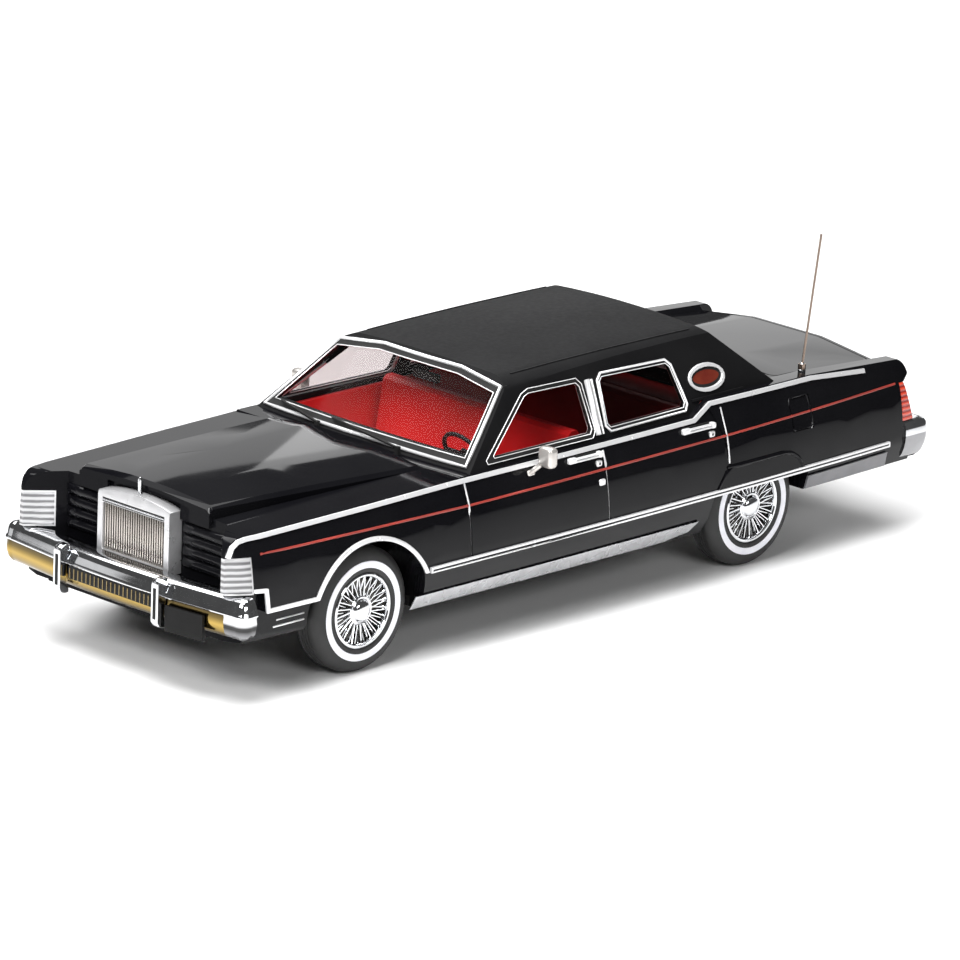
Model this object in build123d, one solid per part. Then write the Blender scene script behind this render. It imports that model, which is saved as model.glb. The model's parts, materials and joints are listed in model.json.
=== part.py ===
from build123d import *
import os
from math import cos, radians, sin

os.makedirs("parts", exist_ok=True)

# Scale model of a long luxury sedan, about 1:43.
# X forward, Y to the car's left, Z up; the origin is on the floor under the middle of the car.

# Body length
NOSE_X = 66.2               # leading edges of the front fenders
TAIL_X = -65.2              # rearmost point of the fins and the tail lamps

# Body sides: half widths and the heights at which they are measured
SIDE_WIDEST = 23.3          # at the lower moulding
SIDE_CREASE = SIDE_WIDEST - 1.0
SIDE_TOP = SIDE_WIDEST - 3.6
SIDE_TUCK = SIDE_WIDEST - 1.1
SILL = SIDE_WIDEST - 2.5
WIDEST_Z = 12.3
CREASE_Z = 20.0
TUCK_Z = 9.0
BODY_BOTTOM = 6.6
QUARTER_Z = 9.4             # lower edge behind the rear wheels
BLOCK_TOP = 26.4            # height that the body is roughed out to before its top is shaped
SIDE_BULGE = 0.22           # swell of the side between the moulding and the crease
STRAIGHT_HALF = 10.0        # half length over which the sides run parallel
NOSE_DRAW = 1.0             # narrowing of each side towards the nose
TAIL_DRAW = 1.35            # narrowing of each side towards the tail
CORNER_RUN = 5.2            # length over which the fender tips round inwards
BLADE_TIP = SIDE_WIDEST - 3.75      # half width of the fender tips
BLADE_EDGE = 0.5            # width of the leading edge of a fender tip
WALL = 1.0                  # casting wall

# Wheels
WHEEL_R = 8.56
FRONT_AXLE_X = 42.45
REAR_AXLE_X = -32.65
TYRE_WIDTH = 4.7
TYRE_OUTER_Y = SIDE_WIDEST - 1.8
TYRE_INNER_Y = TYRE_OUTER_Y - TYRE_WIDTH
RIM_R = 5.1
RIM_WALL = 0.5
HUB_R = 2.1
SPOKE_COUNT = 24
SPOKE_WIDTH = 0.2
SPOKE_SKEW = 5.0            # turn of each spoke about the hub, to one side and the other in turn
AXLE_R = 0.9
AXLE_CLEARANCE = 0.06
ARCH_GAP_X = 2.0            # room before and behind the front tyres
ARCH_GAP_Z = 1.2            # room above them
REAR_WELL_GAP = 1.14
WELL_INNER_Y = TYRE_INNER_Y - 1.2

# Top line of the body side
FENDER_FRONT_Z = 22.5
FENDER_REAR_Z = 23.2
COWL_X = 26.0
BELT_Z = 23.4
KICK_X = -20.3
KICK_RUN = 3.7
FIN_Z = 25.1
FIN_END_Z = 23.9

# Shut lines
FRONT_DOOR_X = 24.2
PILLAR_X = -2.0
REAR_DOOR_X = -26.0
FLAP_X = -41.6
FLAP_Z = 20.45
FLAP_LENGTH = 4.2
FLAP_HEIGHT = 4.3

# Hood
HOOD_LIP = 3.9              # from the fender tips back to the hood's front edge
HOOD_FRONT_HALF = 12.5
HOOD_REAR_HALF = 14.8
HOOD_GAP = 0.25
HOOD_FOOT_Z = 21.5

# Headlamp recess and grille
HEADER_BACK = 4.5           # from the fender tips back to the headlamp doors
DOOR_OUTER = 15.3
NOSE_FLOOR_Z = 13.2
GRILLE_HALF = 6.9
DOOR_INNER = GRILLE_HALF + 0.5
GRILLE_BOTTOM = 13.9
GRILLE_TOP = 23.4
GRILLE_DEPTH = 2.4
GRILLE_RIM = 1.0
BAR_COUNT = 30
BAR_TOP = 21.1
LAMP_BACK = 3.3             # length of the corner lamps
LAMP_BOTTOM = 15.0
LAMP_TOP = 19.9

# Bumpers
BUMPER_FRONT = 1.5          # how far the front bumper stands ahead of the fender tips
GUARD_FRONT = 2.6           # how far its guards do
BUMPER_BACK = 2.7           # from the fender tips back to the ends of the bumper
BUMPER_TOP = 14.9
GUARD_Y = 8.8
GUARD_WIDTH = 1.3
PLATE_LENGTH = 6.4
PLATE_SWEEP = 0.11          # how far the plate falls back per unit of its length
REAR_BUMPER_BACK = 3.6      # how far the rear bumper stands behind the fins
REAR_BUMPER_TOP = 15.3
REAR_BUMPER_BOTTOM = 9.6

# Glasshouse
GLASS_TAPER = 0.5           # lean of the sides, inwards per unit of height
GLASS_BASE = 23.7
BELT_HALF = SIDE_WIDEST - 3.0       # half width of the glasshouse at GLASS_BASE
SCREEN_BASE_X = 22.1
SCREEN_SLOPE = 1.25         # rearward run of the windscreen per unit of height
SCREEN_BOW = 0.56           # bow of the windscreen, square to the glass
BACK_BASE_X = -40.2
BACK_SLOPE = 1.28
BACK_BOW = 0.5
BACK_NARROWING = 0.8
ROOF_TOP = 34.4
ROOF_PEAK_X = -14.0
CROWN_STATIONS = (24.0, 12.0, 1.0, ROOF_PEAK_X + 4, ROOF_PEAK_X - 8, -33.0, -46.0)
FRAME_WIDTH = 0.55
FRAME_PROUD = 0.2
FRAME_DEPTH = 0.45
SCREEN_RIM = 0.85
GLASS_SINK = 0.05
GLASS_THICK = 0.35

# Cabin and underside
FLOOR_Z = 9.0
BASE_TOP = 8.0
BASE_THICK = 1.4
TONGUE_HALF = 8.0
NOSE_PLATE_HALF = 14.0
RAIL_Y = 10.2
CABIN_FRONT = 21.0
CABIN_REAR = -30.4
CABIN_HALF = SIDE_WIDEST - 4.0
TUB_GAP = 0.1
TUB_WALL = 0.8
SCREW_X = (55.0, -50.0)
SCREW_R = 1.1
SCREW_DEPTH = 3.0

# The front arch is one arc, as wide as ARCH_GAP_X asks at the axle and as high as ARCH_GAP_Z asks above it.
ARCH_RISE = WHEEL_R + ARCH_GAP_Z
ARCH_R = ((WHEEL_R + ARCH_GAP_X) ** 2 + ARCH_RISE ** 2) / (2 * ARCH_RISE)
ARCH_CENTRE_Z = WHEEL_R + ARCH_RISE - ARCH_R
HEADER_X = NOSE_X - HEADER_BACK
HOOD_FRONT_X = NOSE_X - HOOD_LIP
LID_FRONT_X = BACK_BASE_X - 0.8
LID_REAR_X = TAIL_X + 3.6
FIN_BREAK_X = LID_FRONT_X - 4.0
LID_HALF = SIDE_WIDEST - 6.6
FAR = 30.0                  # past the body in any direction across it


# ---------------------------------------------------------------- drawing helpers

def side_prism(face, y0, y1):
    """Extrude a face drawn in X and Z across the car from y0 to y1."""
    return Pos(0, y1, 0) * extrude(Plane.XZ * face, amount=y1 - y0)


def front_prism(face, x0, x1):
    """Extrude a face drawn in Y and Z along the car from x0 to x1."""
    return Pos(x0, 0, 0) * extrude(Plane.YZ * face, amount=x1 - x0)


def plan_prism(face, z0, z1):
    """Extrude a face drawn in X and Y upwards from z0 to z1."""
    return Pos(0, 0, z0) * extrude(face, amount=z1 - z0)


def polygon(points):
    return make_face(Polyline(*points, close=True))


def mirrored(points):
    """A closed outline from its half at positive Y."""
    return points + [(-y, z) for y, z in reversed(points)]


def across(x):
    """The plane across the car at station x, drawn in Y and Z."""
    return Plane(origin=(x, 0, 0), x_dir=(0, 1, 0), z_dir=(1, 0, 0))


def block(x0, x1, y0, y1, z0, z1):
    return Pos((x0 + x1) / 2, (y0 + y1) / 2, (z0 + z1) / 2) * Box(x1 - x0, y1 - y0, z1 - z0)


def both_sides(solid):
    """The solid and its mirror image across the car's middle plane."""
    return Compound(children=list(solid.solids()) + list(mirror(solid, about=Plane.XZ).solids()))


def gather(*shapes):
    """One compound of the solids of several shapes."""
    return Compound(children=[solid for shape in shapes for solid in shape.solids()])


def save(shape, node):
    solids = shape.solids()
    if len(solids) == 1:
        export_step(solids[0], f"parts/{node}.step")
    else:
        export_step(Compound(children=list(solids)), f"parts/{node}.step")
    print(node, len(solids), round(sum(s.volume for s in solids), 2))


# ---------------------------------------------------------------- body

def half_at(x, half):
    """Half width at station x of a level that is this wide amidships."""
    if x < 0:
        run = max(0.0, -x - STRAIGHT_HALF) / (-TAIL_X - STRAIGHT_HALF)
        return half - TAIL_DRAW * run ** 2
    run = max(0.0, x - STRAIGHT_HALF) / (NOSE_X - STRAIGHT_HALF)
    corner = max(0.0, x - NOSE_X + CORNER_RUN) / CORNER_RUN
    return (half - NOSE_DRAW * run ** 2) * (1 - corner ** 2) + BLADE_TIP * corner ** 2


def half_width(x, z):
    """Half width of the body side at station x and height z."""
    levels = [
        (BODY_BOTTOM, SILL), (TUCK_Z, SIDE_TUCK), (WIDEST_Z, SIDE_WIDEST),
        (CREASE_Z, SIDE_CREASE), (BLOCK_TOP, SIDE_TOP),
    ]
    for (z0, half0), (z1, half1) in zip(levels, levels[1:]):
        if z <= z1:
            break
    return half_at(x, half0 + (half1 - half0) * (z - z0) / (z1 - z0))


def body_section(x, grow):
    """Cross-section of the rough body, with its sides pushed out by grow."""
    swell = (half_at(x, SIDE_WIDEST) + half_at(x, SIDE_CREASE)) / 2 + SIDE_BULGE
    swell_z = (WIDEST_Z + CREASE_Z) / 2
    sill = (half_at(x, SILL) + grow, BODY_BOTTOM)
    tuck = (half_at(x, SIDE_TUCK) + grow, TUCK_Z)
    widest = (half_at(x, SIDE_WIDEST) + grow, WIDEST_Z)
    crease = (half_at(x, SIDE_CREASE) + grow, CREASE_Z)
    top = (half_at(x, SIDE_TOP) + grow, BLOCK_TOP)
    right = [(-y, z) for y, z in (sill, tuck, widest, crease, top)]
    outline = [
        Line(sill, tuck),
        Line(tuck, widest),
        ThreePointArc(widest, (swell + grow, swell_z), crease),
        Line(crease, top),
        Line(top, right[4]),
        Line(right[4], right[3]),
        ThreePointArc(right[3], (-swell - grow, swell_z), right[2]),
        Line(right[2], right[1]),
        Line(right[1], right[0]),
        Line(right[0], sill),
    ]
    return across(x) * make_face(outline)


def rough_body(grow=0.0):
    tips = [NOSE_X - CORNER_RUN * share for share in (0, 0.25, 0.55, 1)]
    stations = tips + [FRONT_AXLE_X, STRAIGHT_HALF, -STRAIGHT_HALF, REAR_AXLE_X, REAR_AXLE_X / 2 + TAIL_X / 2, TAIL_X]
    return loft([body_section(x, grow) for x in stations], ruled=True)


def side_skin(grow):
    """The thin layer that stands proud of the body sides by grow."""
    return rough_body(grow) - rough_body()


def fender_top(x, edge_z, inner_z, inner_half):
    """Region above the hood's bed and the fender tops at station x."""
    edge_half = half_width(x, edge_z)
    out_z = edge_z + (edge_z - inner_z) * (FAR - edge_half) / (edge_half - inner_half)
    half = [(inner_half, inner_z), (FAR, out_z), (FAR, 2 * BLOCK_TOP)]
    return across(x) * polygon(mirrored(half))


def front_top_cut():
    """What is cleared away above the fenders and the cowl."""
    fenders = loft([
        fender_top(NOSE_X, FENDER_FRONT_Z - 0.05, 22.6, HOOD_FRONT_HALF),
        fender_top(COWL_X, FENDER_REAR_Z, 23.45, HOOD_REAR_HALF),
    ], ruled=True)
    return fenders + block(KICK_X, COWL_X, -FAR, FAR, BELT_Z, 2 * BLOCK_TOP)


def tip_round():
    """Rounds the fender tips in side view, from the lamps up to the fender tops."""
    back = NOSE_X - 2.8
    outline = [
        Line((NOSE_X + 5, LAMP_TOP + 0.1), (NOSE_X, LAMP_TOP + 0.1)),
        ThreePointArc((NOSE_X, LAMP_TOP + 0.1), (NOSE_X - 0.7, 21.75), (back, FENDER_FRONT_Z)),
        Line((back, FENDER_FRONT_Z), (back, 2 * BLOCK_TOP)),
        Line((back, 2 * BLOCK_TOP), (NOSE_X + 5, 2 * BLOCK_TOP)),
        Line((NOSE_X + 5, 2 * BLOCK_TOP), (NOSE_X + 5, LAMP_TOP + 0.1)),
    ]
    return side_prism(make_face(outline), -FAR, FAR)


def deck_section(x, fin_z, lid_z, crown):
    """Region above the trunk lid and the fins at station x."""
    half = [
        (6.5, lid_z + crown), (LID_HALF, lid_z), (LID_HALF + 0.7, fin_z), (FAR, fin_z), (FAR, 2 * BLOCK_TOP),
    ]
    return across(x) * polygon(mirrored(half))


def rear_top_cut():
    """What is cleared away above the trunk lid and the fins, with the kick up to them."""
    kick_end = KICK_X - KICK_RUN
    kick = polygon([(KICK_X + 0.01, BELT_Z), (KICK_X + 0.01, 60), (kick_end, 60), (kick_end, FIN_Z)])
    deck = loft([
        deck_section(kick_end, FIN_Z, FIN_Z - 0.3, 0.4),
        deck_section(FIN_BREAK_X, FIN_Z - 0.1, FIN_Z - 0.5, 0.6),
        deck_section(TAIL_X - 1, FIN_END_Z - 0.15, 23.0, 1.5),
    ], ruled=True)
    return side_prism(kick, -FAR, FAR) + deck


def fin_round():
    """Shapes the rear ends of the fins in side view."""
    rear = TAIL_X + 0.1
    outline = [
        Line((rear + 2.6, 60), (rear + 2.6, FIN_END_Z + 0.1)),
        ThreePointArc((rear + 2.6, FIN_END_Z + 0.1), (rear + 0.5, 23.2), (rear, 21.8)),
        Line((rear, 21.8), (rear + 1.2, 20.9)),
        Line((rear + 1.2, 20.9), (TAIL_X, 15.4)),
        Line((TAIL_X, 15.4), (TAIL_X, 0)),
        Line((TAIL_X, 0), (TAIL_X - 9, 0)),
        Line((TAIL_X - 9, 0), (TAIL_X - 9, 60)),
        Line((TAIL_X - 9, 60), (rear + 2.6, 60)),
    ]
    return side_prism(make_face(outline), -FAR, FAR)


def tail_panel_cut():
    """Sets the panel between the tail lamps back from the fins."""
    half = LID_HALF + 0.6
    panel = polygon([(LID_REAR_X, 60), (LID_REAR_X - 0.6, 23), (LID_REAR_X - 2.4, 15), (TAIL_X - 5, 15), (TAIL_X - 5, 60)])
    return side_prism(panel, -half, half)


def nose_cut():
    """Clears the nose back to the headlamp doors, leaving the two fender tips."""
    tip = BLADE_TIP - BLADE_EDGE
    plan = mirrored([(DOOR_OUTER, HEADER_X), (tip, NOSE_X), (tip, NOSE_X + 5)])
    return plan_prism(polygon([(x, y) for y, x in plan]), NOSE_FLOOR_Z, 60)


def bumper_pocket():
    """Room behind and around the front bumper."""
    back = NOSE_X - BUMPER_BACK - 0.1
    half = SIDE_WIDEST - 1.9
    plan = mirrored([(17.8, NOSE_X - 1.5), (half, back), (FAR, back), (FAR, NOSE_X + 9)])
    return plan_prism(polygon([(x, y) for y, x in plan]), 0, LAMP_BOTTOM)


def axle_channels():
    """Room over the axles and their bearings."""
    half = TYRE_INNER_Y + 2.2
    return gather(*[block(x - 2.2, x + 2.2, -half, half, 0, WHEEL_R + 2.0) for x in (FRONT_AXLE_X, REAR_AXLE_X)])


def fender_lower_cut():
    """Sets the fender sides back below their moulding, ahead of the front wheels."""
    front = NOSE_X - 5.3
    low = polygon([
        (FRONT_AXLE_X, 0), (FRONT_AXLE_X, WIDEST_Z), (front, WIDEST_Z), (front + 0.3, 15.2),
        (NOSE_X + 5, 15.2), (NOSE_X + 5, 0),
    ])
    valance = SIDE_WIDEST - 1.8
    foot = block(FRONT_AXLE_X, NOSE_X + 5, valance - 6, FAR, 0, 8.2)
    return both_sides(side_prism(low, valance, FAR) + foot)


def quarter_lower_cut():
    """Raises the lower edge of the body behind the rear wheels."""
    front = REAR_AXLE_X - WHEEL_R - REAR_WELL_GAP
    return block(TAIL_X - 5, front, -FAR, FAR, 0, QUARTER_Z)


def arch_face(grow=0.0):
    """The opening over a front wheel."""
    return Pos(FRONT_AXLE_X, ARCH_CENTRE_Z) * Circle(ARCH_R + grow)


def front_wells():
    reach = WHEEL_R + ARCH_GAP_X
    slot = block(FRONT_AXLE_X - reach, FRONT_AXLE_X + reach, WELL_INNER_Y, FAR, 0, WHEEL_R)
    return both_sides(side_prism(arch_face(), WELL_INNER_Y, FAR) + slot)


def rear_wells():
    """Rear wheel wells, open below and closed outside by the skirts."""
    reach = WHEEL_R + REAR_WELL_GAP
    well = side_prism(Pos(REAR_AXLE_X, WHEEL_R) * Circle(reach), WELL_INNER_Y, SIDE_WIDEST - 1.0)
    slot = block(REAR_AXLE_X - reach, REAR_AXLE_X + reach, WELL_INNER_Y, FAR, 0, WIDEST_Z - 0.1)
    return both_sides(well + slot)


def rear_well_walls(grow):
    """The rear wheel wells with their casting walls, grown by a clearance."""
    reach = WHEEL_R + REAR_WELL_GAP + WALL + grow
    inner = WELL_INNER_Y - WALL - grow
    wall = side_prism(Pos(REAR_AXLE_X, WHEEL_R) * Circle(reach), inner, FAR)
    foot = block(REAR_AXLE_X - reach, REAR_AXLE_X + reach, inner, FAR, 0, WHEEL_R)
    return both_sides(wall + foot)


def skirt_swell():
    """The shallow raised panel over each rear wheel."""
    front = REAR_AXLE_X + 7.9
    outline = polygon([
        (front + 1.2, WIDEST_Z + 0.9), (front - 0.6, 15.5), (front - 2.2, 15.95), (front - 12.8, 15.95),
        (front - 14.9, 15.3), (front - 16.1, 14.0), (front - 16.5, WIDEST_Z + 0.9),
    ])
    return both_sides(side_skin(0.25) & side_prism(outline, 10, FAR))


def hood_section(x, half, crest_z, dome_half, dome_z, foot_z):
    points = [(half, foot_z), (half, crest_z - 0.45), (half - 0.6, crest_z), (dome_half, dome_z)]
    return across(x) * polygon(mirrored(points))


def hood(grow=0.0, foot_z=HOOD_FOOT_Z):
    """Raised hood panel with its domed centre and its rounded lip."""
    return loft([
        hood_section(HOOD_FRONT_X, HOOD_FRONT_HALF + grow, 23.95, 3.4, 24.45, foot_z),
        hood_section(HOOD_FRONT_X - 0.7, HOOD_FRONT_HALF + grow, 24.45, 3.4, 25.0, foot_z),
        hood_section((HOOD_FRONT_X + COWL_X) / 2, 13.6 + grow, 24.2, 5.0, 24.95, foot_z),
        hood_section(COWL_X, HOOD_REAR_HALF + grow, 23.75, 6.6, 24.7, foot_z),
    ], ruled=True)


def grille_pocket():
    half = GRILLE_HALF + 0.1
    return block(HEADER_X, NOSE_X, -half, half, 0, GRILLE_TOP + 0.15)


def cabin_cavity():
    return block(CABIN_REAR, CABIN_FRONT, -CABIN_HALF, CABIN_HALF, 0, 60)


def door_lines():
    """Shut lines of the doors and the fuel filler flap."""
    low = WIDEST_Z - 0.1
    front = Polyline(
        (FRONT_DOOR_X + 1.6, BELT_Z + 0.7), (FRONT_DOOR_X + 0.5, 20.9), (FRONT_DOOR_X, 18.0), (FRONT_DOOR_X, low),
    )
    middle = Polyline((PILLAR_X + 0.8, BELT_Z + 0.7), (PILLAR_X + 0.1, 20.0), (PILLAR_X, low))
    rear = Polyline(
        (REAR_DOOR_X + 4.2, FIN_Z + 0.9), (REAR_DOOR_X + 2.1, 23.6), (REAR_DOOR_X + 0.6, 20.2), (REAR_DOOR_X, 15.6),
        (REAR_DOOR_X + 1.6, 14.4), (REAR_DOOR_X + 3.0, low),
    )
    flap = Pos(FLAP_X, FLAP_Z)
    flap_ring = flap * Rectangle(FLAP_LENGTH + 0.2, FLAP_HEIGHT + 0.2) - flap * Rectangle(FLAP_LENGTH - 0.2, FLAP_HEIGHT - 0.2)
    ring = rough_body() - rough_body(-0.25)
    grooves = [side_prism(trace(line, 0.2), -FAR, FAR) for line in (front, middle, rear)]
    return [ring & prism for prism in grooves + [side_prism(flap_ring, 10, FAR)]]


def lid_line():
    """Shut line round the trunk lid."""
    middle = (LID_FRONT_X + LID_REAR_X) / 2
    length = LID_FRONT_X - LID_REAR_X
    outer = Pos(middle, 0) * RectangleRounded(length, 2 * LID_HALF - 0.2, 1.5)
    inner = Pos(middle, 0) * RectangleRounded(length - 0.5, 2 * LID_HALF - 0.7, 1.25)
    return plan_prism(outer - inner, 22.0, 30)


def screw_hole(x):
    """Bore for a plinth screw, through the baseplate and into the casting."""
    return Pos(x, 0, BASE_TOP) * Cylinder(SCREW_R, 2 * SCREW_DEPTH)


def body_shell():
    body = rough_body() + skirt_swell()
    body = body - front_top_cut() - rear_top_cut() - tip_round() - fin_round() - tail_panel_cut()
    body = body - nose_cut() - hood(HOOD_GAP, HOOD_FOOT_Z + 0.5)
    body = body + (hood() - grille_pocket())
    body = body - fender_lower_cut() - quarter_lower_cut()
    body = body - front_wells() - rear_wells() - bumper_pocket()
    body = body - (cabin_cavity() - rear_well_walls(0))
    body = body - axle_channels() - corner_lamp_zone() - tail_lamp_zone() - lid_line()
    for x in SCREW_X:
        body = body - screw_hole(x)
    body = body - block(TAIL_X, NOSE_X, -CABIN_HALF - TUB_GAP, CABIN_HALF + TUB_GAP, 0, BASE_TOP)
    for groove in door_lines():
        body = body - groove
    return body


# ---------------------------------------------------------------- glasshouse

def flank_slab(outside, inside):
    """The layer of the flat left flank between two depths."""
    front = Vector(SCREEN_BASE_X, BELT_HALF, GLASS_BASE)
    back = Vector(BACK_BASE_X, BELT_HALF - BACK_NARROWING, GLASS_BASE)
    along = front - back
    outward = Vector(0, -GLASS_TAPER, 1).cross(along)
    flank = Plane(origin=front, x_dir=along, z_dir=outward)
    return flank * block(-90, FAR, -FAR, FAR, -inside, -outside)


def bowed_wall(base_x, slope, bow, inset):
    """The space inside a bowed screen that leans by slope from its foot at base_x."""
    lean = Plane(origin=(base_x, 0, GLASS_BASE), x_dir=(0, 1, 0), z_dir=(-slope, 0, 1))
    deep = 80 if slope > 0 else -80
    level = inset if slope > 0 else -inset
    face = make_face([
        Line((-FAR, level), (-BELT_HALF, level)),
        ThreePointArc((-BELT_HALF, level), (0, level - bow), (BELT_HALF, level)),
        Line((BELT_HALF, level), (FAR, level)),
        Line((FAR, level), (FAR, deep)),
        Line((FAR, deep), (-FAR, deep)),
        Line((-FAR, deep), (-FAR, level)),
    ])
    return extrude(lean * face, amount=2 * FAR, both=True)


def behind_screen(inset):
    return bowed_wall(SCREEN_BASE_X, SCREEN_SLOPE, SCREEN_BOW, inset)


def ahead_of_backlight(inset):
    return bowed_wall(BACK_BASE_X, -BACK_SLOPE, -BACK_BOW, inset)


def crown_section(x):
    """Cross-section under the roof's crown and shoulders."""
    fall = ((x - ROOF_PEAK_X) / 25.0) ** 2
    top = ROOF_TOP - 0.8 * fall
    shoulder = ROOF_TOP - 0.72 - 0.35 * fall
    half = BELT_HALF - 3.2
    edge = half - 4.6
    foot = shoulder - 2.4
    outline = [
        ThreePointArc((-edge, shoulder), (0, top), (edge, shoulder)),
        ThreePointArc((edge, shoulder), (half - 1.6, shoulder - 0.95), (half, foot)),
        Line((half, foot), (half + 0.6, BELT_Z - 3)),
        Line((half + 0.6, BELT_Z - 3), (-half - 0.6, BELT_Z - 3)),
        Line((-half - 0.6, BELT_Z - 3), (-half, foot)),
        ThreePointArc((-half, foot), (1.6 - half, shoulder - 0.95), (-edge, shoulder)),
    ]
    return across(x) * make_face(outline)


def between_walls(solid, inset):
    """Trims a solid to the glasshouse's screens and flanks."""
    return (solid & behind_screen(inset) & ahead_of_backlight(inset)) - both_sides(flank_slab(-FAR, inset))


def glasshouse():
    crown = loft([crown_section(x) for x in CROWN_STATIONS], ruled=True)
    # The crown's sides stand inside the flanks low down, so they only shape the shoulders.
    cap = crown + block(-60, 40, -FAR, FAR, BELT_Z, ROOF_TOP - 4.2)
    return between_walls(cap & block(-60, 40, -FAR, FAR, BELT_Z, FAR + ROOF_TOP), 0.0)


def cabin_air():
    """The space inside the glasshouse, under a plain headlining."""
    section = polygon(mirrored([(BELT_HALF - 8.3, ROOF_TOP - 2.0), (FAR, ROOF_TOP - 10.0), (FAR, BELT_Z - 1)]))
    return between_walls(front_prism(section, -60, 40), WALL)


FRONT_WINDOW = [(19.7, 24.0), (8.7, 31.6), (-2.1, 31.4), (-2.1, 23.9)]
REAR_WINDOW = [(-4.1, 24.1), (-5.2, 31.4), (-19.7, 31.05), (-20.9, 24.2)]
SCREEN = [(19.5, 23.95), (15.5, 32.4), (7.5, 33.3), (-7.5, 33.3), (-15.5, 32.4), (-19.5, 23.95)]
BACKLIGHT = [(15.6, 25.9), (12.2, 32.0), (-12.2, 32.0), (-15.6, 25.9)]
PILLAR_STRIP = [(-2.6, 25.0), (-3.4, 25.0), (-4.0, 30.8), (-3.2, 30.8)]
OPERA_X = -25.9
OPERA_Z = 27.6
OPERA_LENGTH = 7.2
OPERA_HEIGHT = 3.6
OPERA_SIDES = 20
OPERA_RIM = 0.5
PANE_CORNER = 0.8


def pane(points, inset=0.0):
    """A window outline with its corners taken off, drawn in by inset."""
    face = polygon(points)
    if inset:
        face = offset(face, -inset, kind=Kind.INTERSECTION)
    return chamfer(face.vertices(), PANE_CORNER - inset * 0.5)


def opera_face(inset=0.0):
    """The oval opera window, in short straight runs, drawn in by inset."""
    turns = [radians(360 / OPERA_SIDES * i) for i in range(OPERA_SIDES)]
    half_length = OPERA_LENGTH / 2 - inset
    half_height = OPERA_HEIGHT / 2 - inset
    return Pos(OPERA_X, OPERA_Z) * polygon([(half_length * cos(a), half_height * sin(a)) for a in turns])


def screen_layer(face, outside, inside):
    """The part of the windscreen's skin between two depths that a face drawn from ahead takes in."""
    return (behind_screen(outside) - behind_screen(inside)) & front_prism(face, 0, 40)


def backlight_layer(face, outside, inside):
    return (ahead_of_backlight(outside) - ahead_of_backlight(inside)) & front_prism(face, -60, -22)


def rear_fill():
    """The part of the body that stands inside the glasshouse's foot."""
    return rough_body() - front_top_cut() - rear_top_cut()


def roof_shell():
    shell = glasshouse() - cabin_air()
    for opening in (pane(FRONT_WINDOW), pane(REAR_WINDOW), opera_face()):
        shell = shell - side_prism(opening, -FAR, FAR)
    shell = shell - screen_layer(polygon(SCREEN), -2, 2 * WALL) - backlight_layer(polygon(BACKLIGHT), -2, 2 * WALL)
    return shell - rear_fill()


def flank_piece(face, outside, inside):
    """A face drawn from the side, cut through a layer of the left flank."""
    return flank_slab(outside, inside) & side_prism(face, 10, FAR)


def side_window_frames():
    frames = [
        flank_piece(pane(window) - pane(window, FRAME_WIDTH), -FRAME_PROUD, FRAME_DEPTH)
        for window in (FRONT_WINDOW, REAR_WINDOW)
    ]
    strip = flank_piece(polygon(PILLAR_STRIP), -0.15, 0.0)
    return both_sides(gather(*frames, strip))


def side_glass():
    panes = [
        flank_piece(pane(window, FRAME_WIDTH), GLASS_SINK, GLASS_SINK + GLASS_THICK)
        for window in (FRONT_WINDOW, REAR_WINDOW)
    ]
    return both_sides(gather(*panes))


def opera_frames():
    return both_sides(flank_piece(opera_face() - opera_face(OPERA_RIM), -FRAME_PROUD, FRAME_DEPTH))


def opera_windows():
    return both_sides(flank_piece(opera_face(OPERA_RIM), GLASS_SINK, GLASS_SINK + GLASS_THICK))


def drawn_in(points, inset):
    return offset(polygon(points), -inset, kind=Kind.INTERSECTION)


def windscreen_frame():
    return screen_layer(polygon(SCREEN) - drawn_in(SCREEN, SCREEN_RIM), -FRAME_PROUD, FRAME_DEPTH)


def windscreen_glass():
    return screen_layer(drawn_in(SCREEN, SCREEN_RIM), GLASS_SINK, GLASS_SINK + GLASS_THICK)


def rear_window_frame():
    return backlight_layer(polygon(BACKLIGHT) - drawn_in(BACKLIGHT, FRAME_WIDTH), -FRAME_PROUD, FRAME_DEPTH)


def rear_glass():
    return backlight_layer(drawn_in(BACKLIGHT, FRAME_WIDTH), GLASS_SINK, GLASS_SINK + GLASS_THICK)


# ---------------------------------------------------------------- cabin

TUNNEL_HALF = 2.2
TUNNEL_TOP = 11.0
TUB_TOP = 23.2
SEAT_HALF = CABIN_HALF - 1.5
DASH_HALF = CABIN_HALF - 1.0
SEAT_GAP = 0.05


def interior_tub():
    half = CABIN_HALF - TUB_GAP
    rear = CABIN_REAR + TUB_GAP
    front = CABIN_FRONT - TUB_GAP
    outer = block(rear, front, -half, half, BASE_TOP, TUB_TOP)
    inner = block(rear + TUB_WALL, front - TUB_WALL, TUB_WALL - half, half - TUB_WALL, FLOOR_Z, 60)
    tunnel = block(-20.0, front - TUB_WALL, -TUNNEL_HALF, TUNNEL_HALF, FLOOR_Z, TUNNEL_TOP)
    shelf = block(rear + TUB_WALL, -24.5, TUB_WALL - half, half - TUB_WALL, FLOOR_Z, TUB_TOP)
    return outer - inner + tunnel + shelf - rear_well_walls(0.1)


def dashboard():
    front = CABIN_FRONT - TUB_GAP - TUB_WALL - 0.1
    profile = polygon([
        (front, 16.5), (front, 22.9), (front - 1.2, 23.2), (front - 4.0, 22.8), (front - 4.8, 19.5), (front - 3.0, 16.5),
    ])
    return side_prism(profile, -DASH_HALF, DASH_HALF)


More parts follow.
